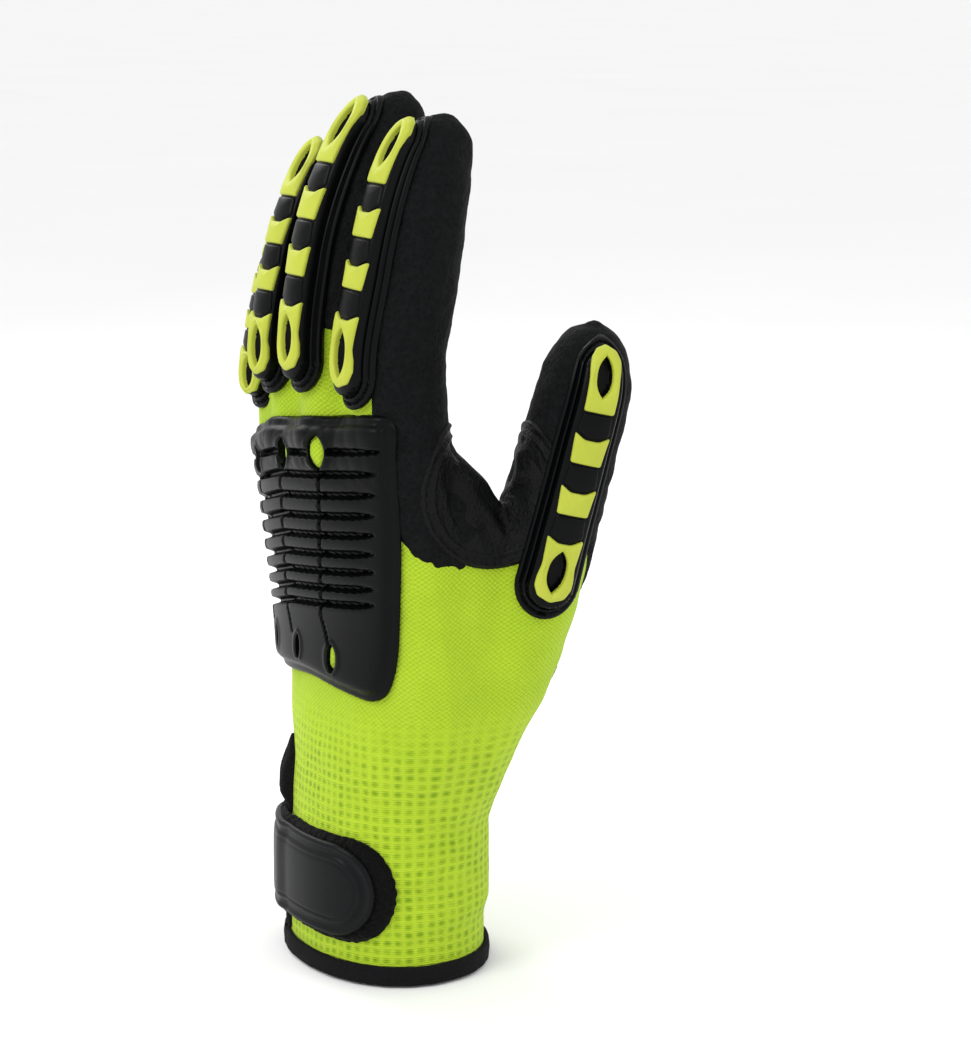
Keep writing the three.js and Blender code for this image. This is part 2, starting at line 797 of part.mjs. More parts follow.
// Wrist strap: its inner height over the knit round the cuff, lifted over the slit's binding
const bindingTop = fitGap + bindingThickness;
const strapLift = bindingTop;
const strapRoute = [
  { angle: -1.75, lift: 0 },
  { angle: (-17 / 54) * Math.PI, lift: 0 },
  { angle: -0.25 * Math.PI, lift: 1 },
  { angle: -0.12 * Math.PI, lift: 1 },
  { angle: -0.06 * Math.PI, lift: 0 },
  { angle: 1.1, lift: 0 },
];
const onWrist = (z, angle, height) => bodyPoint(
  strapMiddle + z,
  angle,
  fitGap + strapLift * lookUp(strapRoute, 'lift', angle) + height,
);
const strapStep = Math.PI / 16;
function strapBand(from, to, halfHeight, low, high, roundStart) {
  const stationAngles = [from, to, to - 0.15 * halfHeight / cuffRadius, to - halfHeight / cuffRadius];
  if (roundStart) stationAngles.push(from + 0.15 * halfHeight / cuffRadius);
  for (let angle = -Math.PI; angle < Math.PI; angle += strapStep) {
    if (angle > from + 0.2 * strapStep && angle < to - 0.2 * strapStep) stationAngles.push(angle);
  }
  stationAngles.sort((one, other) => one - other);
  const stations = stationAngles.map((angle) => {
    const fromEnd = (to - angle) * cuffRadius;
    const fromStart = roundStart ? (angle - from) * cuffRadius : halfHeight;
    const inset = Math.min(fromEnd, fromStart, halfHeight);
    const half = Math.max(Math.sqrt(halfHeight ** 2 - (halfHeight - inset) ** 2), 0.35 * halfHeight);
    return {
      at: angle,
      section: [[-half, low], [0, low], [half, low], [half, high], [0, high], [-half, high]],
    };
  });
  return bentStrip(stations, onWrist);
}
const strapFrom = -1.7;
const strapTo = 1.08;
const fuzzy = strapBand(strapFrom, strapTo, 0.5 * strapHeight, 0, strapThickness, false);
addPiece('strap_fuzzy', fuzzy, 'strap');
const tabSeat = strapThickness + fitGap;
const tabTo = strapTo - tabMargin / cuffRadius;
const tab = strapBand(strapFrom, tabTo, 0.5 * tabHeight, tabSeat, tabSeat + tabThickness, false)
  .add(strapBand(-0.5, tabTo - 6 / cuffRadius, 0.5 * panelHeight, tabSeat + 1,
    tabSeat + tabThickness + panelLift, true));
addPiece('strap_tab', tab, 'tab');

// Binding of the slit and of the hem
const bindingHalf = 0.5 * slitWidth + slitBorder;
const slitBinding = bentOutline(outline([
  [-bindingHalf, hemHeight + fitGap],
  [0, hemHeight + fitGap],
  [bindingHalf, hemHeight + fitGap],
  [bindingHalf, 0.5 * slitHeight],
  [0.7 * bindingHalf, slitHeight],
  [0, slitHeight + slitPoint],
  [-0.7 * bindingHalf, slitHeight],
  [-bindingHalf, 0.5 * slitHeight],
]), -knitWall, fitGap + bindingThickness, onCuff).subtract(slit).subtract(bodySolid(fitGap, 5));
addPiece('slit_binding', slitBinding, 'binding');
const hemOuter = fitGap + bindingThickness;
const hemInner = -knitWall - fitGap;
const hemSection = [
  [0, hemInner - bindingThickness],
  [hemHeight, hemInner - bindingThickness],
  [hemHeight, hemInner],
  [hemFold, hemInner],
  [hemFold, fitGap],
  [hemHeight, fitGap],
  [hemHeight, hemOuter],
  [0, hemOuter],
];

// A point on the many-sided section of the cuff, so that the binding follows its flat sides
function facetPoint(z, angle, height) {
  const side = (angle * bodySides) / (2 * Math.PI);
  const corner = (number) => bodyPoint(z, (2 * Math.PI * number) / bodySides, height);
  return corner(Math.floor(side)).lerp(corner(Math.floor(side) + 1), side - Math.floor(side));
}
const hemFrom = slitAngle + (0.5 * slitWidth) / cuffRadius;
const hemTo = slitAngle - (0.5 * slitWidth) / cuffRadius + 2 * Math.PI;
const hemAngles = [hemFrom, hemTo];
for (let side = -bodySides; side <= bodySides; side += 1) {
  const angle = (2 * Math.PI * side) / bodySides;
  if (angle > hemFrom && angle < hemTo) hemAngles.push(angle);
}
hemAngles.sort((one, other) => one - other);
const hemRings = hemAngles.map((angle) => (
  hemSection.map(([z, height]) => facetPoint(z, angle, height))));
const hemOutline = hemSection.map(([z, height]) => new THREE.Vector2(z, height));
const hemEnds = THREE.ShapeUtils.triangulateShape(hemOutline, []);
addPiece('hem_binding', loftSolid(hemRings, hemEnds), 'binding');

export default glove;
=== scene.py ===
"""Looks of a left-hand impact glove: knit, dipped coating, moulded guards, strap and bindings."""

import itertools
import logging
import math
from dataclasses import dataclass, field
from enum import Enum
from functools import partial
from typing import Any, Callable

import bpy
import numpy as np
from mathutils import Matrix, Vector


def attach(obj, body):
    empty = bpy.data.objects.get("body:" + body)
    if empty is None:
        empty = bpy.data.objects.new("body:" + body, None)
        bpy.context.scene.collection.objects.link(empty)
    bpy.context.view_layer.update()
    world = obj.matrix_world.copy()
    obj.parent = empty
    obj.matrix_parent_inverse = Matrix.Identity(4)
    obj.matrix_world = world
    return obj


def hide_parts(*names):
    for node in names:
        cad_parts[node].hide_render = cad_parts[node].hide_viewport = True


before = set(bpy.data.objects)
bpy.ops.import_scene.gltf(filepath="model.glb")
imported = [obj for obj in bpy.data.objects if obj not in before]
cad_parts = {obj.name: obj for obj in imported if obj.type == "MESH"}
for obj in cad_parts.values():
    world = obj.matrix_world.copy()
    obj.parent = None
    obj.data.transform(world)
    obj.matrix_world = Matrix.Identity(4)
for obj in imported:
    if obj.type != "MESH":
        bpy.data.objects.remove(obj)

Array = np.ndarray
Place = Callable[[Array, Array, Array], Array]
Rows = list[tuple[float, ...]]
MM = 0.001
MATH = "ShaderNodeMath"
NOISE = "ShaderNodeTexNoise"
LENS_POWER = 2.6
FIELD_RANGE = (-12.0, 30.0)
LOG = logging.getLogger("impact_glove")


class Slot(Enum):
    """Material slots of the record that the pieces take their finish from."""

    KNIT = "knit"
    COATING = "coating"
    PATCH = "patch"
    GUARD = "guard"
    INSERT = "insert"
    STRAP = "strap"
    TAB = "tab"
    BINDING = "binding"


class Digit(Enum):
    """The fingers that carry a guard."""

    INDEX = "index"
    MIDDLE = "middle"
    RING = "ring"
    LITTLE = "little"
    THUMB = "thumb"


# Numbers along tables


@dataclass(frozen=True)
class Track:
    """A smooth line of values through the rows of a table.

    The slope at a row is the harmonic mean of its neighbours' slopes, or 0 at a turning point.
    """

    at: Array
    values: Array

    @staticmethod
    def columns(rows: Rows) -> list["Track"]:
        """One line for each further column of a table whose first column holds the places."""
        at, *lines = zip(*rows)
        return [Track.through(at, values) for values in lines]

    @staticmethod
    def through(at: list[float], values: list[float], count: int = 400) -> "Track":
        """Samples a monotone cubic through the rows.

        Args:
            at: places of the rows, rising.
            values: values of the rows.
            count: number of samples kept.

        Returns:
            The sampled line.
        """
        x = np.asarray(at, float)
        y = np.asarray(values, float)
        gaps = np.diff(x)
        slopes = np.diff(y) / gaps
        both = slopes[:-1] * slopes[1:]
        total = slopes[:-1] + slopes[1:]
        inner = np.where(both > 0, 2 * both / np.where(total == 0, 1, total), 0)
        tangents = np.concatenate([slopes[:1], inner, slopes[-1:]])
        places = np.linspace(x[0], x[-1], count)
        row = np.clip(np.searchsorted(x, places) - 1, 0, len(x) - 2)
        t = (places - x[row]) / gaps[row]
        h = gaps[row]
        result = (
            (2 * t**3 - 3 * t**2 + 1) * y[row]
            + (t**3 - 2 * t**2 + t) * h * tangents[row]
            + (3 * t**2 - 2 * t**3) * y[row + 1]
            + (t**3 - t**2) * h * tangents[row + 1]
        )
        return Track(places, result)

    def __call__(self, where: Array) -> Array:
        """Reads the line, held level past its ends."""
        return np.interp(where, self.at, self.values)


def profile(where: Array, rows: Rows) -> Array:
    """Reads a table of places and values, straight between its rows."""
    at, values = zip(*rows)
    return np.interp(where, at, values)


def signed_power(values: Array, power: float) -> Array:
    """Raises the size of each value to a power and keeps its sign."""
    return np.sign(values) * np.abs(values) ** power


def smooth_least(one: Array, other: Array, reach: Array | float) -> Array:
    """Lesser of two distances a and b with a fillet of reach k: b + (a - b) h - k h (1 - h).

    Args:
        one: first distance, a.
        other: second distance, b.
        reach: size k of the fillet; h is 0.5 + (b - a) / 2k, held from 0 to 1.

    Returns:
        The joined distance.
    """
    share = np.clip(0.5 + 0.5 * (other - one) / reach, 0, 1)
    return other + (one - other) * share - reach * share * (1 - share)


def lens_room(side: Array, along: Array, half: float, length: float) -> Array:
    """Distance inside a rounded lens, across it: half (1 - |along / length| ** 2.6) - |side|."""
    return half * (1 - np.abs(along / length) ** LENS_POWER) - np.abs(side)


def ramp(values: Array, start: float, stop: float) -> Array:
    """Smooth step from 0 at start to 1 at stop: t * t * (3 - 2 t)."""
    t = np.clip((values - start) / (stop - start), 0, 1)
    return t * t * (3 - 2 * t)


def ripple(points: Array, wavelength: float, seed: int) -> Array:
    """Soft unevenness from -1 to 1: the mean of twelve sine waves in seeded directions.

    Args:
        points: places in millimetres.
        wavelength: length of the waves in millimetres.
        seed: number that fixes the directions.

    Returns:
        One value for each point.
    """
    source = np.random.default_rng(seed)
    ways = source.normal(size=(12, 3))
    ways /= np.linalg.norm(ways, axis=1)[:, None]
    lengths = wavelength * source.uniform(0.7, 1.5, size=12)
    starts = source.uniform(0, 2 * math.pi, size=12)
    waves = np.sin(2 * math.pi * (points @ ways.T) / lengths + starts)
    return np.clip(waves.mean(axis=1) * 2.2, -1, 1)


# Meshes as arrays


def clip_mesh(vertices: Array, triangles: Array, values: Array) -> tuple[Array, Array]:
    """Keeps the part of a mesh where the value is above 0, cut straight through its triangles.

    Args:
        vertices: rows of coordinates.
        triangles: rows of three indices.
        values: one value for each vertex.

    Returns:
        The kept vertices and triangles.
    """
    inside = values > 0
    count = inside[triangles].sum(axis=1)
    whole = triangles[count == 3]
    one = triangles[count == 1]
    two = triangles[count == 2]
    turn_one = np.argmax(inside[one], axis=1)
    turn_two = np.argmin(inside[two], axis=1)
    order = (np.arange(3)[None, :] + turn_one[:, None]) % 3
    one = np.take_along_axis(one, order, axis=1)
    order = (np.arange(3)[None, :] + turn_two[:, None]) % 3
    two = np.take_along_axis(two, order, axis=1)
    edges = np.concatenate([one[:, [0, 1]], one[:, [0, 2]], two[:, [0, 1]], two[:, [0, 2]]])
    low = edges.min(axis=1)
    high = edges.max(axis=1)
    keys, back = np.unique(low * len(vertices) + high, return_inverse=True)
    low = keys // len(vertices)
    high = keys % len(vertices)
    share = (values[low] / (values[low] - values[high]))[:, None]
    cuts = vertices[low] + share * (vertices[high] - vertices[low])
    back = back.reshape(-1) + len(vertices)
    first, second, third, fourth = np.split(back, [len(one), 2 * len(one), 2 * len(one) + len(two)])
    faces = np.concatenate([
        whole,
        np.column_stack([one[:, 0], first, second]),
        np.column_stack([third, two[:, 1], two[:, 2]]),
        np.column_stack([third, two[:, 2], fourth]),
    ])
    everything = np.concatenate([vertices, cuts])
    used, faces = np.unique(faces, return_inverse=True)
    return everything[used], faces.reshape(-1, 3)


def open_edges(triangles: Array) -> Array:
    """Finds the rim of a mesh.

    Args:
        triangles: rows of three indices.

    Returns:
        Directed edges that only one triangle has.
    """
    edges = np.concatenate([triangles[:, [0, 1]], triangles[:, [1, 2]], triangles[:, [2, 0]]])
    keys = edges.min(axis=1) * (triangles.max() + 1) + edges.max(axis=1)
    _, where, count = np.unique(keys, return_index=True, return_counts=True)
    return edges[where[count == 1]]


def grid_triangles(rows: int, columns: int) -> Array:
    """Joins a grid of points, numbered row by row.

    Args:
        rows: number of rows of points.
        columns: number of points in a row.

    Returns:
        Two triangles for each cell.
    """
    corner = np.arange(rows * columns).reshape(rows, columns)
    a = corner[:-1, :-1].ravel()
    b = corner[1:, :-1].ravel()
    c = corner[1:, 1:].ravel()
    d = corner[:-1, 1:].ravel()
    return np.concatenate([np.column_stack([a, b, c]), np.column_stack([a, c, d])])


def surface_cells(values: Array) -> tuple[Array, Array]:
    """Finds the cells of a grid that the surface of a field crosses.

    Args:
        values: field at the grid's points, below 0 inside.

    Returns:
        Index of each cell, and the mean place of the crossings on its twelve edges.
    """
    inside = values < 0
    corners = list(itertools.product((0, 1), repeat=3))
    count = np.zeros([size - 1 for size in inside.shape], int)
    for corner in corners:
        count += inside[tuple(slice(start, start + size) for start, size in zip(corner, count.shape))]
    where = np.argwhere((count > 0) & (count < len(corners)))
    total = np.zeros((len(where), 3))
    crossings = np.zeros(len(where))
    for one, axis in itertools.product(corners, range(3)):
        if one[axis]:
            continue
        other = one + np.eye(3, dtype=int)[axis]
        first = values[tuple((where + one).T)]
        second = values[tuple((where + other).T)]
        crossed = (first < 0) != (second < 0)
        share = np.where(crossed, first / np.where(crossed, first - second, 1), 0)
        spot = where + np.array(one) + share[:, None] * np.eye(3)[axis]
        total += np.where(crossed[:, None], spot, 0)
        crossings += crossed
    return where, total / crossings[:, None]


def surface_faces(inside: Array, number: Array) -> Array:
    """Joins the four cells round each grid edge that the surface crosses.

    Args:
        inside: whether each point of the grid lies inside.
        number: vertex of each cell, -1 for none.

    Returns:
        Two triangles for each crossed edge.
    """
    quads = []
    for axis in range(3):
        second, third = (axis + 1) % 3, (axis + 2) % 3
        lower = np.take(inside, range(inside.shape[axis] - 1), axis=axis)
        upper = np.take(inside, range(1, inside.shape[axis]), axis=axis)
        edges = np.argwhere(lower != upper)
        for side in (second, third):
            edges = edges[(edges[:, side] > 0) & (edges[:, side] < inside.shape[side] - 1)]
        ring = []
        for back in ((1, 1), (0, 1), (0, 0), (1, 0)):
            cell = edges.copy()
            cell[:, [second, third]] -= back
            ring.append(number[tuple(cell.T)])
        quad = np.stack(ring, axis=1)
        quads.append(np.where(lower[tuple(edges.T)][:, None], quad, quad[:, ::-1]))
    quads = np.concatenate(quads)
    return np.concatenate([quads[:, [0, 1, 2]], quads[:, [0, 2, 3]]])


def polygon_distance(x: Array, y: Array, corners: Array) -> Array:
    """Distance to the sides of a closed outline, above 0 inside it.

    Args:
        x: first coordinates.
        y: second coordinates.
        corners: corners of the outline in order.

    Returns:
        Distances shaped like x.
    """
    points = np.stack([np.ravel(x), np.ravel(y)], axis=1)
    best = np.full(len(points), np.inf)
    odd = np.zeros(len(points), bool)
    for start, stop in zip(corners, np.roll(corners, -1, axis=0)):
        side = stop - start
        share = np.clip((points - start) @ side / (side @ side), 0, 1)
        best = np.minimum(best, np.linalg.norm(points - start - share[:, None] * side, axis=1))
        if start[1] != stop[1]:
            level = (points[:, 1] > start[1]) != (points[:, 1] > stop[1])
            cross = start[0] + (points[:, 1] - start[1]) * side[0] / side[1]
            odd ^= level & (points[:, 0] < cross)
    return np.where(odd, best, -best).reshape(np.shape(x))


def rounded(corners: Array, radius: float, spacing: float = 0.25) -> Array:
    """Even points along a closed outline with its corners eased by a moving average.

    Args:
        corners: corners in order.
        radius: reach of the average in millimetres.
        spacing: distance between points.

    Returns:
        The points of the eased outline.
    """
    closed = np.concatenate([corners, corners[:1]])
    reach = np.concatenate([[0], np.cumsum(np.linalg.norm(np.diff(closed, axis=0), axis=1))])
    count = max(int(reach[-1] / spacing), 12)
    places = np.linspace(0, reach[-1], count, endpoint=False)
    line = np.stack([np.interp(places, reach, closed[:, axis]) for axis in (0, 1)], axis=1)
    width = max(int(radius / spacing), 1)
    shifts = range(-width, width + 1)
    return sum(np.roll(line, shift, axis=0) for shift in shifts) / len(shifts)


@dataclass
class Shell:
    """Vertices in millimetres and triangles of one piece."""

    vertices: Array
    triangles: Array

    def refined(self) -> "Shell":
        """Splits every triangle into four at the middles of its edges.

        Returns:
            The finer shell.
        """
        a, b, c = self.triangles.T
        edges = np.concatenate([np.column_stack([a, b]), np.column_stack([b, c]), np.column_stack([c, a])])
        keys = edges.min(axis=1) * len(self.vertices) + edges.max(axis=1)
        keys, back = np.unique(keys, return_inverse=True)
        middles = 0.5 * (self.vertices[keys // len(self.vertices)] + self.vertices[keys % len(self.vertices)])
        ab, bc, ca = np.split(back.reshape(-1) + len(self.vertices), 3)
        parts = [(a, ab, ca), (ab, b, bc), (ca, bc, c), (ab, bc, ca)]
        triangles = np.concatenate([np.column_stack(part) for part in parts])
        return Shell(np.concatenate([self.vertices, middles]), triangles)

    def joined(self, *others: "Shell") -> "Shell":
        """Puts further shells into one.

        Args:
            others: the further shells.

        Returns:
            One shell with all triangles.
        """
        shells = [self, *others]
        starts = np.cumsum([0] + [len(shell.vertices) for shell in shells[:-1]])
        return Shell(
            np.concatenate([shell.vertices for shell in shells]),
            np.concatenate([shell.triangles + start for shell, start in zip(shells, starts)]),
        )

    def normals(self) -> Array:
        """Directions of the vertices, from the sum of their triangles' normals.

        Returns:
            Rows of length 1.
        """
        corners = self.vertices[self.triangles]
        faces = np.cross(corners[:, 1] - corners[:, 0], corners[:, 2] - corners[:, 0])
        total = np.zeros_like(self.vertices)
        for corner in range(3):
            np.add.at(total, self.triangles[:, corner], faces)
        return total / (np.linalg.norm(total, axis=1)[:, None] + 1e-12)

    def eased(self, rounds: int, share: float = 0.5) -> "Shell":
        """Moves each vertex towards the mean of its neighbours and partly back.

        Args:
            rounds: number of passes, each a step in and a step out.
            share: part of the way in one step.

        Returns:
            The smoothed shell.
        """
        edges = np.concatenate([self.triangles[:, [0, 1]], self.triangles[:, [1, 2]],
                                self.triangles[:, [2, 0]]])
        count = np.bincount(edges.ravel(), minlength=len(self.vertices))[:, None]
        vertices = self.vertices.copy()
        for step in [share, -1.04 * share] * rounds:
            total = np.zeros_like(vertices)
            np.add.at(total, edges[:, 0], vertices[edges[:, 1]])
            np.add.at(total, edges[:, 1], vertices[edges[:, 0]])
            vertices += step * (total / np.maximum(count, 1) - vertices)
        return Shell(vertices, self.triangles)

    def clipped(self, values: Array) -> "Shell":
        """Keeps the part where the value is above 0."""
        return Shell(*clip_mesh(self.vertices, self.triangles, values))

    def raised(self, height: Array) -> "Shell":
        """Moves each vertex by a height along its normal."""
        return Shell(self.vertices + self.normals() * height[:, None], self.triangles)

    def facing_out(self, centre: Array) -> "Shell":
        """Turns the triangles so that the volume round a centre is above 0.

        Args:
            centre: point inside the shell.

        Returns:
            The shell itself.
        """
        corners = self.vertices[self.triangles] - centre
        volume = np.einsum("ij,ij->i", corners[:, 0], np.cross(corners[:, 1], corners[:, 2])).sum()
        if volume < 0:
            self.triangles = self.triangles[:, ::-1]
        return self

    def piece(self, name: str, slot: Slot, replaced: list[str], crease: float = 42) -> bpy.types.Object:
        """Makes the Blender object, which rides on the root body and stands for CAD nodes.

        Args:
            name: name of the piece.
            slot: material slot that it takes its finish from.
            replaced: CAD nodes that it stands for.
            crease: edges sharper than this many degrees stay sharp.

        Returns:
            The object.
        """
        mesh = bpy.data.meshes.new(name)
        mesh.from_pydata((self.vertices * MM).tolist(), [], self.triangles.tolist())
        mesh.shade_smooth()
        mesh.set_sharp_from_angle(angle=math.radians(crease))
        piece = bpy.data.objects.new(name, mesh)
        bpy.context.collection.objects.link(piece)
        piece.data.materials.append(FINISHES[slot])
        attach(piece, "root")
        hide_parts(*replaced)
        LOG.info("%s: %d triangles", name, len(self.triangles))
        return piece


def loft(rings: Array, round_trip: bool = False) -> Shell:
    """Closed skin over rings of equally many points.

    Args:
        rings: array of rings by points by three coordinates.
        round_trip: whether the last ring joins the first; otherwise each end is a fan.

    Returns:
        The shell, facing outwards.
    """
    count, sides = rings.shape[:2]
    corner = np.arange(count * sides).reshape(count, sides)
    after = np.roll(corner, -1, axis=1)
    grids = (corner, after, np.roll(after, -1, axis=0), np.roll(corner, -1, axis=0))
    a, b, c, d = (grid[:count if round_trip else count - 1].ravel() for grid in grids)
    triangles = [np.column_stack([a, b, c]), np.column_stack([a, c, d])]
    vertices = rings.reshape(-1, 3)
    centre = vertices.mean(axis=0)
    if not round_trip:
        low, high = count * sides, count * sides + 1
        triangles += [
            np.column_stack([after[0], corner[0], np.full(sides, low)]),
            np.column_stack([corner[-1], after[-1], np.full(sides, high)]),
        ]
        vertices = np.concatenate([vertices, rings[[0, -1]].mean(axis=1)])
    return Shell(vertices, np.concatenate(triangles)).facing_out(centre)


@dataclass
class Relief:
    """A moulded sheet: a flat outline with a height over it, bent on to what carries it."""

    across: tuple[float, float]
    along: tuple[float, float]
    edge: Callable[[Array, Array], Array]
    height: Callable[[Array, Array, Array], Array]
    place: Place
    low: float = -0.8
    step: float = 0.45
    least_share: float = 0.08

    def shell(self) -> Shell:
        """Works the sheet out on a grid, cuts it along its outline and closes it underneath.

        The top is place(u, v, height(u, v, distance to the outline)) and the underside is
        place(u, v, low).

        Returns:
            The closed shell.
        """
        u = np.arange(self.across[0] - self.step, self.across[1] + 2 * self.step, self.step)
        v = np.arange(self.along[0] - self.step, self.along[1] + 2 * self.step, self.step)
        grid = np.stack(np.meshgrid(u, v, indexing="ij"), axis=-1).reshape(-1, 2)
        triangles = grid_triangles(len(u), len(v))
        inside = self.edge(grid[:, 0], grid[:, 1])
        least = self.least_share * self.step
        inside = np.where(np.abs(inside) < least, least, inside)
        flat, triangles = clip_mesh(grid, triangles, inside)
        distance = np.maximum(self.edge(flat[:, 0], flat[:, 1]), 0)
        top = self.place(flat[:, 0], flat[:, 1], self.height(flat[:, 0], flat[:, 1], distance))
        under = self.place(flat[:, 0], flat[:, 1], np.full(len(flat), self.low))
        rim = open_edges(triangles)
        count = len(flat)
        sides = np.concatenate([
            np.column_stack([rim[:, 1], rim[:, 0], rim[:, 0] + count]),
            np.column_stack([rim[:, 1], rim[:, 0] + count, rim[:, 1] + count]),
        ])
        faces = np.concatenate([triangles, triangles[:, ::-1] + count, sides])
        shell = Shell(np.concatenate([top, under]), faces)
        corners = top[triangles]
        normal = np.cross(corners[:, 1] - corners[:, 0], corners[:, 2] - corners[:, 0]).sum(axis=0)
        outward = (top - under).sum(axis=0)
        if normal @ outward < 0:
            shell.triangles = shell.triangles[:, ::-1]
        return shell


@dataclass
class Moulding:
    """A small raised block with eased top edges, with or without an eyelet through it."""

    outline: Array
    place: Place
    low: float
    top: float
    ease: float = 0.8
    crown: float = 0.25
    eyelet: tuple[float, float, float] | None = None

    def eyelet_points(self) -> Array:
        """Point of the eyelet's rounded lens on the ray to each outline point.

        The length of each ray is found by halving the range that holds its end.

        Returns:
            Rows of side and length.
        """
        middle, half, length = self.eyelet
        way = self.outline - np.array([0, middle])
        way = way / np.linalg.norm(way, axis=1)[:, None]
        side, along = np.abs(way[:, 0]), np.abs(way[:, 1])
        near, far = np.zeros(len(self.outline)), np.full(len(self.outline), 2 * length)
        for _ in range(24):
            reach = 0.5 * (near + far)
            inside = lens_room(side * reach, along * reach, half, length) > 0
            near, far = np.where(inside, reach, near), np.where(inside, far, reach)
        return np.array([0, middle]) + way * near[:, None]

    def shell(self) -> Shell:
        """Rings from the outline's foot over the top to the eyelet's foot or the middle.

        Returns:
            The closed shell.
        """
        middle = self.outline.mean(axis=0)
        inner = self.eyelet_points() if self.eyelet else np.tile(middle, (len(self.outline), 1))
        span = np.linalg.norm(inner - self.outline, axis=1)[:, None]
        arc = np.array([0, 0.08, 0.3, 0.62, 1])
        rise = np.sqrt(1 - (1 - arc) ** 2)
        room = np.minimum(self.ease, 0.45 * span)
        rings = [(0 * span, self.low)]
        rings += [(room * a / span, self.top - self.ease * (1 - r)) for a, r in zip(arc, rise)]
        start = room / span
        if self.eyelet:
            inward, stop, swing = (0.25, 0.5, 0.75), 1 - start, math.pi
        else:
            inward, stop, swing = (0.15, 0.35, 0.6, 0.85), np.ones_like(start), 0.5 * math.pi
        rings += [(start + (stop - start) * t, self.top + self.crown * math.sin(swing * t)) for t in inward]
        if self.eyelet:
            edge = zip(arc[::-1], rise[::-1])
            rings += [(1 - room * a / span, self.top - self.ease * (1 - r)) for a, r in edge]
            rings.append((0 * span + 1, self.low))
        points = []
        for share, height in rings:
            flat = self.outline + share * (inner - self.outline)
            points.append(self.place(flat[:, 0], flat[:, 1], np.full(len(flat), height)))
        return loft(np.stack(points), self.eyelet is not None)


# Form of the hand


@dataclass
class FingerForm:
    """Middle line and sections of one finger, in millimetres."""

    root: tuple[float, float, float]
    length: float
    width: float
    depth: float
    route: Rows
    sizes: Rows
    facing: tuple[float, float, float] = (0.0, -1.0, 0.0)

    def __post_init__(self) -> None:
        """Samples the tables."""
        self.track_x, self.track_y = Track.columns(self.route)
        self.track_size, = Track.columns(self.sizes)

    def middle(self, along: Array) -> Array:
        """Point of the middle line: root + length (x(t), y(t), t).

        Args:
            along: shares t of the length.

        Returns:
            Points shaped like the shares, with three coordinates each.
        """
        along = np.asarray(along, float)
        root = np.array(self.root)
        return np.stack([
            root[0] + self.length * self.track_x(along),
            root[1] + self.length * self.track_y(along),
            root[2] + self.length * along,
        ], axis=-1)

    def frames(self, along: Array) -> tuple[Array, Array, Array, Array]:
        """Middle, forward, outward and side directions at shares of the length.

        Args:
            along: shares of the length.

        Returns:
            Four arrays of vectors.
        """
        first = self.middle(np.maximum(np.asarray(along) - 0.1, -0.3))
        last = self.middle(np.minimum(np.asarray(along) + 0.1, 1))
        forward = last - first
        forward /= np.linalg.norm(forward, axis=-1)[..., None]
        facing = np.array(self.facing)
        outward = facing - forward * (forward @ facing)[..., None]
        outward /= np.linalg.norm(outward, axis=-1)[..., None]
        return self.middle(along), forward, outward, np.cross(outward, forward)

    def point(self, along: Array, angle: Array, offset: Array) -> Array:
        """Point over the knit: middle + side (A + o) sin(angle) + outward (B + o) cos(angle).

        Args:
            along: shares of the length.
            angle: turn from the middle of the finger's back.
            offset: height o over the knit.

        Returns:
            The points.
        """
        centre, _, outward, side = self.frames(along)
        size = self.track_size(along)
        across = 0.5 * self.width * size + offset
        deep = 0.5 * self.depth * size + offset
        sideways = side * (across * np.sin(angle))[..., None]
        return centre + sideways + outward * (deep * np.cos(angle))[..., None]

    def distance(self, points: Array) -> Array:
        """Distance to the finger's skin, below 0 inside: (r - 1) / |grad r| of its oval section.

        Args:
            points: rows of places.

        Returns:
            One distance for each place.
        """
        along = (points[:, 2] - self.root[2]) / self.length
        for _ in range(3):
            held = np.clip(along, -0.2, 1)
            centre, forward, outward, side = self.frames(held)
            apart = points - centre
            along = held + np.einsum("ij,ij->i", apart, forward) / (self.length * 1.02)
        size = self.track_size(held)
        half = 0.5 * self.width * size
        deep = 0.5 * self.depth * size
        s = np.einsum("ij,ij->i", apart, side) / half
        o = np.einsum("ij,ij->i", apart, outward) / deep
        r = np.sqrt(s**2 + o**2) + 1e-6
        slope = np.sqrt((s / half) ** 2 + (o / deep) ** 2) / r
        flat = (r - 1) / np.maximum(slope, 1e-3)
        beyond = np.abs(np.einsum("ij,ij->i", apart, forward))
        past = np.where((along > 1) | (along < -0.2), beyond, 0)
        return np.clip(np.maximum(flat, past - 0.6), *FIELD_RANGE)


FINGER_SIZES = [(-0.2, 0.84), (0.1, 1.0), (0.43, 0.98), (0.7, 0.92), (0.85, 0.79), (0.94, 0.6), (0.985, 0.36),
                (1.0, 0.12)]
THUMB_SIZES = [(-0.05, 0.9), (0.08, 1.14), (0.22, 1.2), (0.42, 1.14), (0.6, 1.04), (0.87, 0.96),
               (0.945, 0.77), (0.985, 0.48), (1.0, 0.12)]


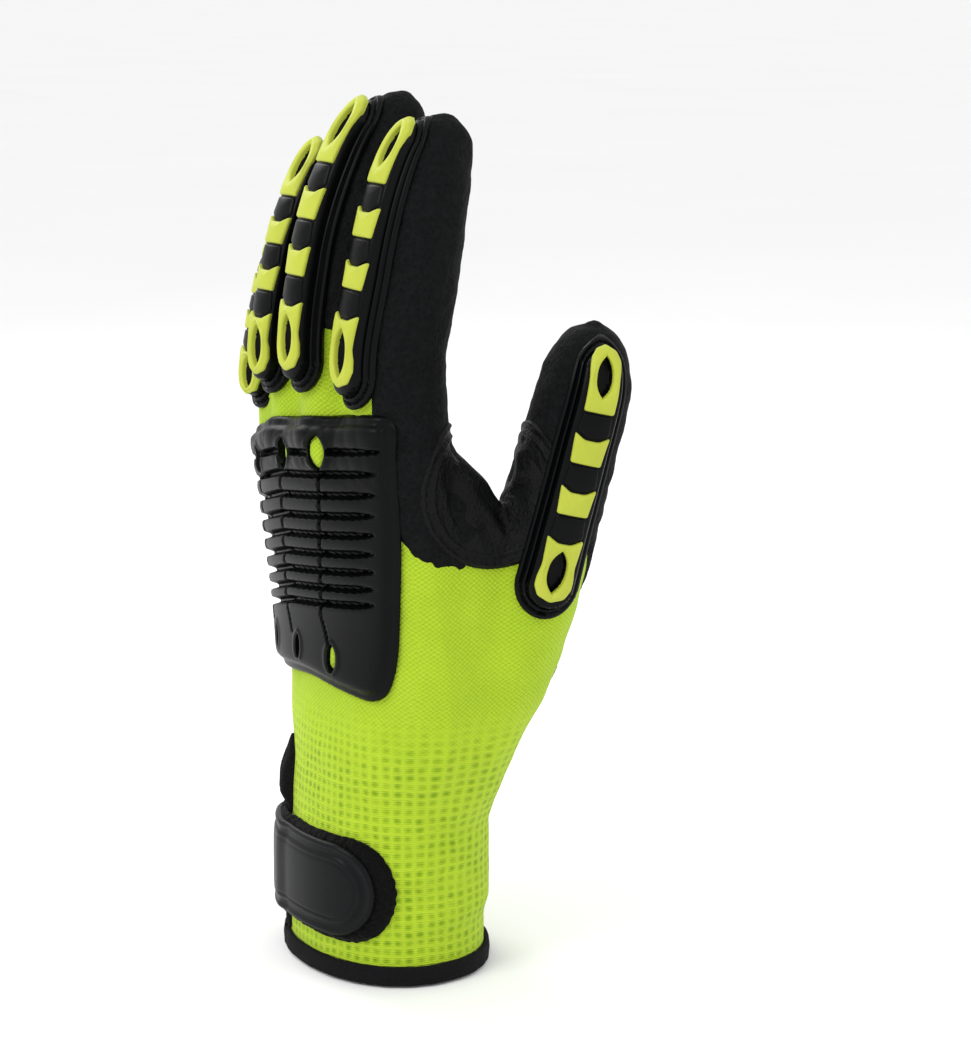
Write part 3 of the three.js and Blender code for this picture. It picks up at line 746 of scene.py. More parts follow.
@dataclass
class HandForm:
    """The glove's skin: oval sections of cuff and palm, five fingers and the thumb's saddle."""

    cuff_height: float = 73.0
    palm_length: float = 107.0
    cuff_radius: float = 30.75
    section_power: float = 0.94
    saddle_width: float = 24.0
    saddle_low: float = 62.0
    saddle_start: tuple[float, float] = (35.2, -4.4)
    palm_fillet: float = 4.5
    finger_fillet: float = 1.2
    thumb_fillets: tuple[float, float] = (3.0, 14.0)
    saddle_fillet: float = 4.0
    low: tuple[float, float, float] = (-52.0, -46.0, -5.0)
    high: tuple[float, float, float] = (78.0, 54.0, 268.0)
    rows: Rows = field(default_factory=lambda: [
        (0.0, 34.5, 27.0, 0.0, 0.0),
        (29.93, 33.81, 27.27, 0.0, 0.5),
        (52.56, 34.5, 25.92, 0.5, 0.5),
        (73.0, 37.4, 24.2, 1.5, 0.0),
        (90.12, 40.92, 20.46, 1.5, -2.0),
        (110.45, 43.12, 18.04, 1.0, -4.5),
        (132.92, 44.0, 17.6, 1.0, -7.5),
        (153.25, 44.0, 16.28, 1.0, -10.5),
        (169.3, 42.68, 14.08, 1.0, -12.0),
        (180.0, 38.72, 8.8, 1.0, -12.5),
    ])
    saddle: Rows = field(default_factory=lambda: [
        (0.0, 0.85, 0.34),
        (0.3, 0.76, 0.42),
        (0.6, 0.655, 0.46),
        (1.0, 0.72, 0.44),
    ])
    fingers: dict[Digit, FingerForm] = field(default_factory=lambda: {
        Digit.INDEX: FingerForm((30.5, -13, 156.46), 97, 23, 27, [
            (-0.2, 0, 0.1), (0, 0, 0.02), (0.3, 0.01, 0), (0.55, 0.02, 0.04), (0.8, 0.02, 0.1),
            (1, 0.02, 0.17)], FINGER_SIZES),
        Digit.MIDDLE: FingerForm((9, -17.5, 156.46), 102, 23, 27, [
            (-0.2, 0, 0.1), (0, 0, 0.02), (0.3, 0, 0), (0.55, 0, 0.03), (0.8, 0, 0.11),
            (1, 0, 0.21)], FINGER_SIZES),
        Digit.RING: FingerForm((-12, -16.5, 156.46), 91, 22, 25.92, [
            (-0.2, 0, 0.1), (0, 0, 0.02), (0.3, -0.005, 0), (0.55, -0.01, 0.04), (0.8, -0.015, 0.12),
            (1, -0.02, 0.22)], FINGER_SIZES),
        Digit.LITTLE: FingerForm((-31, -13, 152.2), 71, 20, 22, [
            (-0.2, 0, 0.1), (0, 0, 0.02), (0.3, -0.01, 0.02), (0.55, -0.02, 0.06), (0.8, -0.03, 0.13),
            (1, -0.03, 0.22)], FINGER_SIZES),
        Digit.THUMB: FingerForm((17, 9, 55), 140, 26, 27, [
            (-0.05, -0.018, -0.017), (0, 0, 0), (0.15, 0.055, 0.05), (0.3, 0.12, 0.09), (0.45, 0.175, 0.115),
            (0.6, 0.21, 0.14), (0.75, 0.235, 0.17), (0.9, 0.25, 0.205), (1, 0.255, 0.22)], THUMB_SIZES,
            (0.95, -0.31, 0.0)),
    })

    def __post_init__(self) -> None:
        """Samples the tables."""
        self.half, self.deep, self.mid_x, self.mid_y = Track.columns(self.rows)
        saddle = [(share, self.wrist_to(top), self.saddle_width * half) for share, top, half in self.saddle]
        self.saddle_top, self.saddle_half = Track.columns(saddle)

    def wrist_to(self, share: float) -> float:
        """Height of a share of the palm over the wrist line."""
        return self.cuff_height + share * self.palm_length

    def body(self, z: Array, angle: Array, offset: Array) -> Array:
        """Point over the knit of cuff and palm.

        x = cx + (a + o) sin(angle) ** p and y = cy - (b + o) cos(angle) ** p, with signed powers.

        Args:
            z: heights over the hem.
            angle: turn from the middle of the back.
            offset: height o over the knit.

        Returns:
            The points.
        """
        a = self.half(z) + offset
        b = self.deep(z) + offset
        return np.stack([
            self.mid_x(z) + a * signed_power(np.sin(angle), self.section_power),
            self.mid_y(z) - b * signed_power(np.cos(angle), self.section_power),
            np.broadcast_to(z, np.shape(a)).astype(float),
        ], axis=-1)

    def back(self, x: Array, z: Array, offset: Array) -> Array:
        """Point over the back of the hand at x across and z up."""
        reach = np.clip((x - self.mid_x(z)) / self.half(z), -0.97, 0.97)
        return self.body(z, np.arcsin(signed_power(reach, 1 / self.section_power)), offset)

    def knuckles(self, x: Array, z: Array) -> Array:
        """How far the fingers' roots stand over the back of the hand at x and z.

        A finger's back at a side distance d from its middle line is B (1 - (d / A) ** 2) ** 0.5
        out from that line; the largest rise of the four counts, and is evened over 9 mm.

        Args:
            x: places across the hand.
            z: heights over the hem.

        Returns:
            The rises, 0 between the fingers and below them.
        """
        total = np.zeros(np.shape(x))
        for shift in (-4.5, 0.0, 4.5):
            spot = x + shift
            level = self.back(spot, z, np.zeros(np.shape(spot)))[..., 1]
            rise = np.zeros(np.shape(spot))
            for digit, finger in self.fingers.items():
                if digit is Digit.THUMB:
                    continue
                along = (z - finger.root[2]) / finger.length
                middle = finger.middle(along)
                size = finger.track_size(along)
                share = np.clip((spot - middle[..., 0]) / (0.5 * finger.width * size), -1, 1)
                out = 0.5 * finger.depth * size * np.sqrt(1 - share**2)
                held = ramp(along, -0.24, -0.16)
                rise = np.maximum(rise, held * (level - (middle[..., 1] - out)))
            total += rise / 3
        return total

    def body_distance(self, points: Array) -> Array:
        """Distance to cuff and palm: (r - 1) / |grad r|, closed at the knuckles.

        Args:
            points: rows of places.

        Returns:
            One distance for each place, below 0 inside.
        """
        z = points[:, 2]
        power = 2 / self.section_power
        a, b = self.half(z), self.deep(z)
        x = np.abs(points[:, 0] - self.mid_x(z)) / a
        y = np.abs(points[:, 1] - self.mid_y(z)) / b
        r = (x**power + y**power) ** (1 / power) + 1e-6
        slope = np.sqrt((x ** (power - 1) / a) ** 2 + (y ** (power - 1) / b) ** 2) / r ** (power - 1)
        flat = np.clip((r - 1) / np.maximum(slope, 1e-3), *FIELD_RANGE)
        return -smooth_least(-flat, self.rows[-1][0] + 1 - z, 4.0)

    def saddle_distance(self, points: Array) -> Array:
        """Distance to the saddle between the palm and the thumb.

        Args:
            points: rows of places.

        Returns:
            One distance for each place, below 0 inside.
        """
        z = points[:, 2]
        thumb = self.fingers[Digit.THUMB]
        far = thumb.middle((z - thumb.root[2]) / thumb.length)[:, :2]
        near = np.array(self.saddle_start)
        axis = far - near
        length = np.linalg.norm(axis, axis=1)
        share = np.einsum("ij,ij->i", points[:, :2] - near, axis) / length**2
        held = np.clip(share, 0, 1)
        across = (axis[:, 1] * (points[:, 0] - near[0]) - axis[:, 0] * (points[:, 1] - near[1])) / length
        top = self.saddle_top(held)
        half = self.saddle_half(held)
        tall = 0.5 * (top - self.saddle_low)
        up = np.abs(z - 0.5 * (top + self.saddle_low)) / tall
        r = np.sqrt(up ** (8 / 3) + (across / half) ** 2) + 1e-6
        slope = np.sqrt((4 / 3 * up ** (5 / 3) / tall) ** 2 + (across / half**2) ** 2) / r
        flat = (r - 1) / np.maximum(slope, 1e-3)
        beyond = np.maximum(-share, share - 1) * length
        return np.clip(np.maximum(flat, beyond), *FIELD_RANGE)

    def distance(self, points: Array) -> Array:
        """Distance to the whole skin: the parts' distances joined with fillets.

        Args:
            points: rows of places.

        Returns:
            One distance for each place, below 0 inside.
        """
        z = points[:, 2]
        reach = self.palm_fillet + (self.finger_fillet - self.palm_fillet) * ramp(z, 172, 192)
        thin, thick = self.thumb_fillets
        whole = self.body_distance(points)
        for digit, finger in self.fingers.items():
            root = np.array(finger.root)
            near = z > root[2] - 0.25 * finger.length - 6
            part = np.full(len(points), FIELD_RANGE[1])
            part[near] = finger.distance(points[near])
            fillet = thin + (thick - thin) * ramp(-z, -105, -80) if digit is Digit.THUMB else reach
            whole = smooth_least(whole, part, fillet)
        near = (z > 40) & (z < 185) & (points[:, 0] > 20)
        part = np.full(len(points), FIELD_RANGE[1])
        part[near] = self.saddle_distance(points[near])
        return smooth_least(whole, part, self.saddle_fillet)

    def skin(self, step: float, offset: float) -> Shell:
        """Surface where the distance is an offset, with one vertex in each cell that it crosses.

        Args:
            step: size of the cells in millimetres.
            offset: height of the surface over the knit.

        Returns:
            The surface, open below the hem.
        """
        axes = [np.arange(low, high + step, step) for low, high in zip(self.low, self.high)]
        grid = np.stack(np.meshgrid(*axes, indexing="ij"), axis=-1)
        values = (self.distance(grid.reshape(-1, 3)) - offset).reshape(grid.shape[:3])
        where, spots = surface_cells(values)
        number = np.full([size - 1 for size in values.shape], -1)
        number[tuple(where.T)] = np.arange(len(where))
        return Shell(np.array(self.low) + step * spots, surface_faces(values < 0, number)).eased(4)


# Materials


def linear(code: str) -> tuple[float, float, float, float]:
    """Turns an sRGB hex colour into linear values with full cover."""
    parts = [int(code[start:start + 2], 16) / 255 for start in (0, 2, 4)]
    return (*[part / 12.92 if part <= 0.04045 else ((part + 0.055) / 1.055) ** 2.4 for part in parts], 1.0)


def add_node(tree: bpy.types.NodeTree, kind: str, *values: Any, inputs: dict[str, Any] | None = None,
             **settings: Any) -> bpy.types.Node:
    """Adds a node with its settings, values and links.

    Args:
        tree: node tree of the material.
        kind: type name of the node.
        values: values for the inputs in their order; a socket or a node is linked, None is left.
        inputs: further values by input name or number.
        settings: properties of the node.

    Returns:
        The node.
    """
    node = tree.nodes.new(kind)
    for key, value in settings.items():
        setattr(node, key, value)
    for key, value in [*enumerate(values), *(inputs or {}).items()]:
        if isinstance(value, bpy.types.Node):
            value = value.outputs[0]
        if isinstance(value, bpy.types.NodeSocket):
            tree.links.new(value, node.inputs[key])
        elif value is not None:
            node.inputs[key].default_value = value
    return node


def start_material(name: str, roughness: float, specular: float,
                   **values: Any) -> tuple[bpy.types.Material, bpy.types.NodeTree, bpy.types.Node, Any]:
    """Makes a material with its shader and constant values.

    Args:
        name: name of the material.
        roughness: roughness all over.
        specular: strength of the reflection, 0.5 for a usual plastic.
        values: further values of the shader's sockets.

    Returns:
        The material, its tree, its shader and the Object coordinates.
    """
    material = bpy.data.materials.new(name)
    material.use_nodes = True
    tree = material.node_tree
    shader = tree.nodes["Principled BSDF"]
    shader.inputs["Roughness"].default_value = roughness
    shader.inputs["Specular IOR Level"].default_value = specular
    for key, value in values.items():
        shader.inputs[key.replace("_", " ")].default_value = value
    return material, tree, shader, add_node(tree, "ShaderNodeTexCoord").outputs["Object"]


def finish_material(tree: bpy.types.NodeTree, shader: bpy.types.Node, share: Any, colours: tuple[str, str],
                    height: Any, depth_mm: float) -> None:
    """Joins the colour between two hex values and the bump to a material's shader.

    Args:
        tree: node tree of the material.
        shader: its Principled shader.
        share: node or socket that goes from the first colour at 0 to the second at 1.
        colours: the two sRGB hex values.
        height: node or socket with the height of the surface.
        depth_mm: real depth of a step of 1 in that height.
    """
    first, second = (linear(code) for code in colours)
    colour = add_node(tree, "ShaderNodeMix", share, inputs={6: first, 7: second}, data_type="RGBA")
    tree.links.new(colour.outputs[2], shader.inputs["Base Color"])
    settings = {"Height": height, "Distance": depth_mm * MM, "Strength": 1.0}
    bump = add_node(tree, "ShaderNodeBump", inputs=settings)
    tree.links.new(bump.outputs[0], shader.inputs["Normal"])


@dataclass(frozen=True)
class SeamlessKnit:
    """Seamless polyester knit, in hi-vis lime: ribs with deep dimples on the cuff, fine on the hand."""

    yarn: str = "B0CC2E"
    # Painted shade: the colour that the knit takes where it sinks, in the dimples and between stitches.
    hollow: str = "769A08"
    rib_count: int = 64
    rib_row_mm: float = 2.7
    yarn_mm: float = 0.64
    stitch_mm: float = 1.6
    course_mm: float = 1.4
    wander_mm: float = 1.4
    wander_turn: float = 0.045
    dimple_power: float = 0.75
    yarn_share: float = 0.13
    stitch_share: float = 0.24
    cuff_fade_mm: tuple[float, float] = (84.0, 66.0)
    noises: tuple[tuple[float, float], ...] = ((110.0, 2.0), (300.0, 1.0), (60.0, 3.0), (2000.0, 3.0))

    def material(self) -> bpy.types.Material:
        """Dimples are the product of two cosines: round the cuff by the angle, and up by z.

        The cuff also has fine level yarn lines. The hand's stitches stand in a brick pattern of
        1.6 by 1.4 mm, a little coarser than the real knit, so that they show. Where this pattern
        sinks the bump, the colour turns towards the hollow colour: painted shade in the dimples,
        between the stitches and in the dips between the yarn lines.

        Returns:
            The material.
        """
        material, tree, shader, where = start_material("Hi-vis seamless knit", 0.85, 0.15, Sheen_Weight=0.08)
        node = partial(add_node, tree)
        x, y, z = node("ShaderNodeSeparateXYZ", where).outputs
        wander, uneven, slow, fuzz = (
            node(NOISE, inputs={"Vector": where, "Scale": scale, "Detail": detail})
            for scale, detail in self.noises
        )
        height = node(MATH, wander, self.wander_mm * MM, z, operation="MULTIPLY_ADD")
        turn = node(MATH, x, node(MATH, y, -1.0, operation="MULTIPLY"), operation="ARCTAN2")
        turn = node(MATH, wander, self.wander_turn, turn, operation="MULTIPLY_ADD")
        facing = node("ShaderNodeSeparateXYZ", node("ShaderNodeNewGeometry").outputs["True Normal"])
        sizes = [node(MATH, facing.outputs[axis], operation="ABSOLUTE") for axis in (0, 1)]
        sideways = node(MATH, *sizes, operation="GREATER_THAN")
        across = node("ShaderNodeMix", sideways, inputs={2: x, 3: y})
        across = node(MATH, wander, self.wander_mm * MM, across, operation="MULTIPLY_ADD")
        lengths = [(height, self.rib_row_mm), (height, self.yarn_mm), (across, self.stitch_mm),
                   (height, self.course_mm)]
        rates = [(turn, float(self.rib_count))]
        rates += [(value, 2 * math.pi / (size * MM)) for value, size in lengths]
        round_wave, up_wave, yarns, stitch, course = (
            node(MATH, node(MATH, value, rate, operation="MULTIPLY"), operation="COSINE")
            for value, rate in rates
        )
        rib, row = (node(MATH, wave, 0.5, 0.5, operation="MULTIPLY_ADD") for wave in (round_wave, up_wave))
        dimple = node(MATH, node(MATH, rib, row, operation="MULTIPLY"), self.dimple_power, operation="POWER")
        uneven = node("ShaderNodeMapRange", uneven, 0.3, 0.7, 0.4, 1.0)
        dimple = node(MATH, dimple, uneven, operation="MULTIPLY")
        cuff_share = node(MATH, yarns, self.yarn_share, dimple, operation="MULTIPLY_ADD")
        brick = node(MATH, stitch, course, operation="MULTIPLY")
        hand_share = node(MATH, brick, self.stitch_share, self.stitch_share, operation="MULTIPLY_ADD")
        cuff = node("ShaderNodeMapRange", z, *(level * MM for level in self.cuff_fade_mm), 0.0, 1.0)
        pattern = node("ShaderNodeMix", cuff, inputs={2: hand_share, 3: cuff_share})
        # Painted shade: the pattern that sinks the bump also darkens the colour towards the hollow colour;
        # the slow noise is the yarn's own uneven tone.
        share = node(MATH, slow, 0.35, pattern, operation="MULTIPLY_ADD")
        share = node(MATH, share, 0.14, operation="SUBTRACT")
        depth = node(MATH, node(MATH, fuzz, 0.35, operation="MULTIPLY"), pattern, operation="SUBTRACT")
        finish_material(tree, shader, share, (self.yarn, self.hollow), depth, 0.5)
        return material


@dataclass(frozen=True)
class CrinkleLatex:
    """Natural latex with a crinkle finish: matt black with fine wandering wrinkles."""

    name: str = "Crinkle latex"
    # Painted highlight and shade: high is the colour of the raised crinkle, low that of its pits.
    high: str = "141516"
    low: str = "020203"
    crinkle_mm: float = 1.3
    roughness: float = 0.7
    specular: float = 0.07
    bend_mm: float = 1.8

    def material(self) -> bpy.types.Material:
        """Wrinkles of 1.3 mm, coarser than the real half millimetre, so that they show. Their colour
        follows their height: painted highlight on the ridges, painted shade in the pits.

        Returns:
            The material: cells of a bent Voronoi pattern with grain of 0.6 mm.
        """
        material, tree, shader, where = start_material(self.name, self.roughness, self.specular)
        node = partial(add_node, tree)
        bend = node(NOISE, inputs={"Vector": where, "Scale": 450.0, "Detail": 1.0})
        reach = (self.bend_mm * MM,) * 3
        bend = node("ShaderNodeVectorMath", bend.outputs["Color"], reach, operation="MULTIPLY")
        bent = node("ShaderNodeVectorMath", where, bend, operation="ADD")
        cells = node("ShaderNodeTexVoronoi", inputs={"Vector": bent, "Scale": 1 / (self.crinkle_mm * MM)},
                     feature="SMOOTH_F1")
        grain = node(NOISE, inputs={"Vector": where, "Scale": 1700.0, "Detail": 4.0})
        height = node(MATH, grain, 0.8, cells.outputs["Distance"], operation="MULTIPLY_ADD")
        # Painted highlight and shade: the colour follows the bump height, lighter on the ridges, darker in
        # the pits.
        share = node(MATH, height, 0.75, operation="MULTIPLY")
        finish_material(tree, shader, share, (self.low, self.high), height, 0.4)
        return material


@dataclass(frozen=True)
class MouldedRubber:
    """Thermoplastic rubber from a mould: satin skin with a faint spark-eroded grain."""

    name: str
    colour: str
    deep: str
    roughness: float
    grain_mm: float
    grain_depth: float
    specular: float

    def material(self) -> bpy.types.Material:
        """Grain of half a millimetre and slow shade changes of a finger's breadth.

        Returns:
            The material.
        """
        material, tree, shader, where = start_material(self.name, self.roughness, self.specular)
        node = partial(add_node, tree)
        slow = node(NOISE, inputs={"Vector": where, "Scale": 90.0})
        grain = node(NOISE, inputs={"Vector": where, "Scale": 1 / (self.grain_mm * MM), "Detail": 3.0})
        slow_share = node(MATH, slow, 0.7, operation="MULTIPLY")
        # The slow noise varies the tone at random; the grain, which also drives the bump, makes its raised
        # points a little lighter, painted highlight.
        share = node(MATH, grain, 0.3, slow_share, operation="MULTIPLY_ADD")
        finish_material(tree, shader, share, (self.deep, self.colour), grain, self.grain_depth)
        return material


@dataclass(frozen=True)
class HookAndLoop:
    """Brushed nylon loop pile of a hook-and-loop strap: dull black with tangled fibres."""

    pile: str = "0B0D0B"
    # Painted shade: root is the colour where the pile sinks, pile that of the raised fibres.
    root: str = "020302"
    fibre_mm: float = 0.8

    def material(self) -> bpy.types.Material:
        """Fibres are noise of 0.8 mm, drawn coarser than the real threads.

        Returns:
            The material.
        """
        material, tree, shader, where = start_material("Brushed nylon loop", 0.95, 0.08, Sheen_Weight=0.06)
        node = partial(add_node, tree)
        tangle = node(NOISE, inputs={"Vector": where, "Scale": 1 / (self.fibre_mm * MM), "Detail": 6.0})
        # Painted shade: the tangle that drives the bump also darkens its low places towards the root colour.
        finish_material(tree, shader, tangle, (self.root, self.pile), tangle, 0.6)
        return material


@dataclass(frozen=True)
class WovenTape:
    """Folded elastic polyester tape: black with fine ribs across its width."""

    # Painted highlight and shade: high is the colour of the raised weave, low that of its dips.
    high: str = "131215"
    low: str = "040405"
    rib_mm: float = 0.9
    row_mm: float = 0.8
    radius_mm: float = 31.0

    def material(self) -> bpy.types.Material:
        """Ribs of 0.9 mm run up the tape, broken by rows of 0.8 mm, drawn coarser than real.

        Returns:
            The material.
        """
        material, tree, shader, where = start_material("Woven polyester tape", 0.88, 0.15)
        node = partial(add_node, tree)
        x, y, z = node("ShaderNodeSeparateXYZ", where).outputs
        turn = node(MATH, x, node(MATH, y, -1.0, operation="MULTIPLY"), operation="ARCTAN2")
        rates = ((turn, 2 * math.pi * self.radius_mm / self.rib_mm), (z, 2 * math.pi / (self.row_mm * MM)))
        ribs, rows = (
            node(MATH, node(MATH, value, rate, operation="MULTIPLY"), operation="SINE")
            for value, rate in rates
        )
        grain = node(NOISE, inputs={"Vector": where, "Scale": 1400.0, "Detail": 3.0})
        weave = node(MATH, ribs, rows, operation="MULTIPLY")
        weave = node(MATH, weave, 0.25, grain, operation="MULTIPLY_ADD")
        # Painted shade: the colour follows the weave's height, darker in its dips and lighter on the raised
        # ribs.
        finish_material(tree, shader, weave, (self.low, self.high), weave, 0.3)
        return material


@dataclass(frozen=True)
class PaperSweep:
    """Matt white paper under the glove, with a hardly visible change of shade."""

    light: str = "F8F8F8"
    shade: str = "F4F4F4"

    def material(self) -> bpy.types.Material:
        """Slow shade changes of a third of a metre.

        Returns:
            The material.
        """
        material, tree, shader, where = start_material("Matt white paper", 0.9, 0.2)
        node = partial(add_node, tree)
        slow = node(NOISE, inputs={"Vector": where, "Scale": 3.0})
        finish_material(tree, shader, slow, (self.shade, self.light), slow, 0.01)
        return material


FINISHES: dict[Slot, bpy.types.Material] = {}


def make_finishes() -> None:
    """Makes the materials of all slots."""
    FINISHES.update({
        Slot.KNIT: SeamlessKnit().material(),
        Slot.COATING: CrinkleLatex().material(),
        # Painted highlight and shade on the patch too: its colour is lighter on the crinkle ridges and darker
        # in the pits.
        Slot.PATCH: CrinkleLatex("Synthetic leather patch", "0B0C0D", "020203", 1.1, 0.5, 0.13).material(),
        Slot.GUARD: MouldedRubber("Black moulded TPR", "060708", "020304", 0.36, 0.4, 0.03, 0.1).material(),
        Slot.INSERT: MouldedRubber("Lime moulded TPR", "BCC446", "A4AE30", 0.5, 0.5, 0.02, 0.25).material(),
        Slot.STRAP: HookAndLoop().material(),
        Slot.TAB: MouldedRubber("Moulded PVC tab", "0A0B0E", "060709", 0.38, 0.5, 0.04, 0.13).material(),
        Slot.BINDING: WovenTape().material(),
    })


# Sub-assemblies


@dataclass(frozen=True)
class CuffSlit:
    """Slit up the back of the cuff, narrower towards its top."""

    angle: float = -0.56
    height: float = 61.0
    half: float = 1.2
    narrowing: float = 0.76

    def room(self, side: Array, z: Array) -> Array:
        """Distance outside the slit at a distance round the cuff from its middle line."""
        half = self.half * (1 - self.narrowing * np.clip(z / self.height, 0, 1))
        return np.maximum(np.abs(side) - half, z - self.height)


@dataclass
class KnitLiner:
    """The knitted glove itself, hollow, cut off at the hem and slit at the back of the cuff."""

    hand: HandForm
    skin: Shell
    wall: float = 1.6
    hem_level: float = 1.2
    swell: float = 3.7
    slit: CuffSlit = CuffSlit()
    swells: Rows = field(default_factory=list)

    def room(self, vertices: Array) -> Array:
        """Distance from the hem's cut and the slit.

        Args:
            vertices: points on the knit.

        Returns:
            One distance for each point, above 0 on the kept knit.
        """
        z = vertices[:, 2]
        across = (vertices[:, 0] - self.hand.mid_x(z)) / self.hand.half(z)
        outward = -(vertices[:, 1] - self.hand.mid_y(z)) / self.hand.deep(z)
        angle = np.arctan2(across, outward)
        side = (angle - self.slit.angle) * self.hand.cuff_radius
        return np.minimum(z - self.hem_level, self.slit.room(side, z))

    def build(self) -> None:
        """Outer knit with soft unevenness and swellings, and the inner face on coarser cells."""
        vertices = self.skin.vertices
        soft = 0.22 * ripple(vertices, 17, 4) + 0.12 * ripple(vertices, 8, 5)
        lift = soft * ramp(vertices[:, 2], 6, 16)
        back = self.skin.normals()[:, 1] < -0.2
        for x, z, half, length in self.swells:
            far = ((vertices[:, 0] - x) / (half + 0.5)) ** 2 + ((vertices[:, 2] - z) / (length + 0.2)) ** 2
            lift = lift + self.swell * back * np.clip(1 - far**3, 0, 1)
        outer = self.skin.raised(lift)
        outer = outer.clipped(self.room(outer.vertices))
        inner = self.hand.skin(2.4, -self.wall)
        inner = inner.clipped(self.room(inner.vertices))
        inner.triangles = inner.triangles[:, ::-1]
        outer.joined(inner).piece("knit_shell", Slot.KNIT, ["knit_liner"], 80)


@dataclass
class LatexCoating:
    """The dipped coating on the palm, the thumb and the fingers, thinning out at its wavy edge."""

    hand: HandForm
    skin: Shell
    thickness: float = 1.0
    edge_thickness: float = 0.05
    centre: tuple[float, float] = (5.0, 0.0)
    palm_start: float = 0.16
    thumb_side: float = 42.0
    edge: Rows = field(default_factory=lambda: [
        (0, 1.13), (0.57, 1.13), (0.61, 0.66), (0.78, 0.55), (0.98, 0.5), (1.1, 0.6), (1.2, 0.64),
        (1.36, 0.56), (1.5, 0.36), (1.64, 0.15), (1.78, -0.03), (1.9, -0.13), (2.05, -0.16),
        (2.3, -0.155), (2.6, -0.12), (2.9, -0.07), (3.03, -0.04), (3.1, 1.13), (3.6, 1.13), (4.0, 1.13)])

    def room(self, vertices: Array, normals: Array) -> Array:
        """Height over the coating's edge, which runs round the hand by quarter turns.

        The surfaces that face the palm are coated from a sixth of the palm's height upwards,
        and so is the thumb's inner wall, which faces the palm from the side. The thumb's outer
        side keeps the edge.

        Args:
            vertices: points on the skin.
            normals: directions of the skin there.

        Returns:
            Distance to the edge, above 0 on the coated side.
        """
        turn = np.arctan2(vertices[:, 0] - self.centre[0], -(vertices[:, 1] - self.centre[1]))
        quarter = np.mod(turn / (0.5 * math.pi), 4)
        level = self.hand.wrist_to(profile(quarter, self.edge))
        ragged = 0.9 * ripple(vertices, 5, 11) + 0.5 * ripple(vertices, 2.4, 12)
        wall = -normals[:, 0] * ramp(vertices[:, 0], 12, 18) * ramp(-vertices[:, 2], -156, -150)
        start = self.hand.wrist_to(self.palm_start)
        palm = np.minimum(12 * (np.maximum(normals[:, 1], wall) - 0.25), vertices[:, 2] - start)
        palm = np.minimum(palm, self.thumb_side - vertices[:, 0])
        return np.maximum(vertices[:, 2] - level, palm) + ragged

    def build(self) -> None:
        """Skin pushed out by the coating, more where it gathers in soft folds."""
        shell = self.skin.clipped(self.room(self.skin.vertices, self.skin.normals()))
        room = self.room(shell.vertices, shell.normals())
        folds = 0.3 * ripple(shell.vertices, 9, 21) + 0.16 * ripple(shell.vertices, 4, 22)
        body = self.thickness + folds * ramp(room, 2, 8)
        lift = self.edge_thickness + ramp(room, 0, 3.5) * (body - self.edge_thickness)
        shell.raised(lift).piece("coating_skin", Slot.COATING, ["latex_coating"], 80)


@dataclass
class CrotchPatch:
    """Round patch sewn over the saddle of the thumb, with a double raised seam along its edge."""

    skin: Shell
    centre: tuple[float, float, float] = (45.76, 9.0, 150.04)
    radius: float = 23.0
    edge_lift: float = 0.5
    body_lift: float = 0.7
    seam_lift: float = 0.6
    fold_lift: float = 0.8

    def room(self, vertices: Array) -> Array:
        """Distance inside the ball that bounds the patch."""
        return self.radius - np.linalg.norm(vertices - np.array(self.centre), axis=1)

    def build(self) -> None:
        """Skin inside a ball, raised by about 1.2 mm with two ridges near the ball's face."""
        wide = self.skin.clipped(self.room(self.skin.vertices) + 1)
        wide = wide.refined().eased(2).refined()
        shell = wide.clipped(self.room(wide.vertices))
        room = self.room(shell.vertices)
        ridges = np.exp(-((room - 1.2) / 0.6) ** 2) + 0.9 * np.exp(-((room - 3.8) / 0.65) ** 2)
        folds = self.fold_lift * ripple(shell.vertices * np.array([1, 1, 0.55]), 6, 31) * ramp(room, 4, 9)
        lift = self.edge_lift + ramp(room, 0, 0.7) * self.body_lift + self.seam_lift * ridges + folds
        shell.raised(lift).piece("crotch_patch", Slot.PATCH, ["thumb_crotch_patch"], 80)


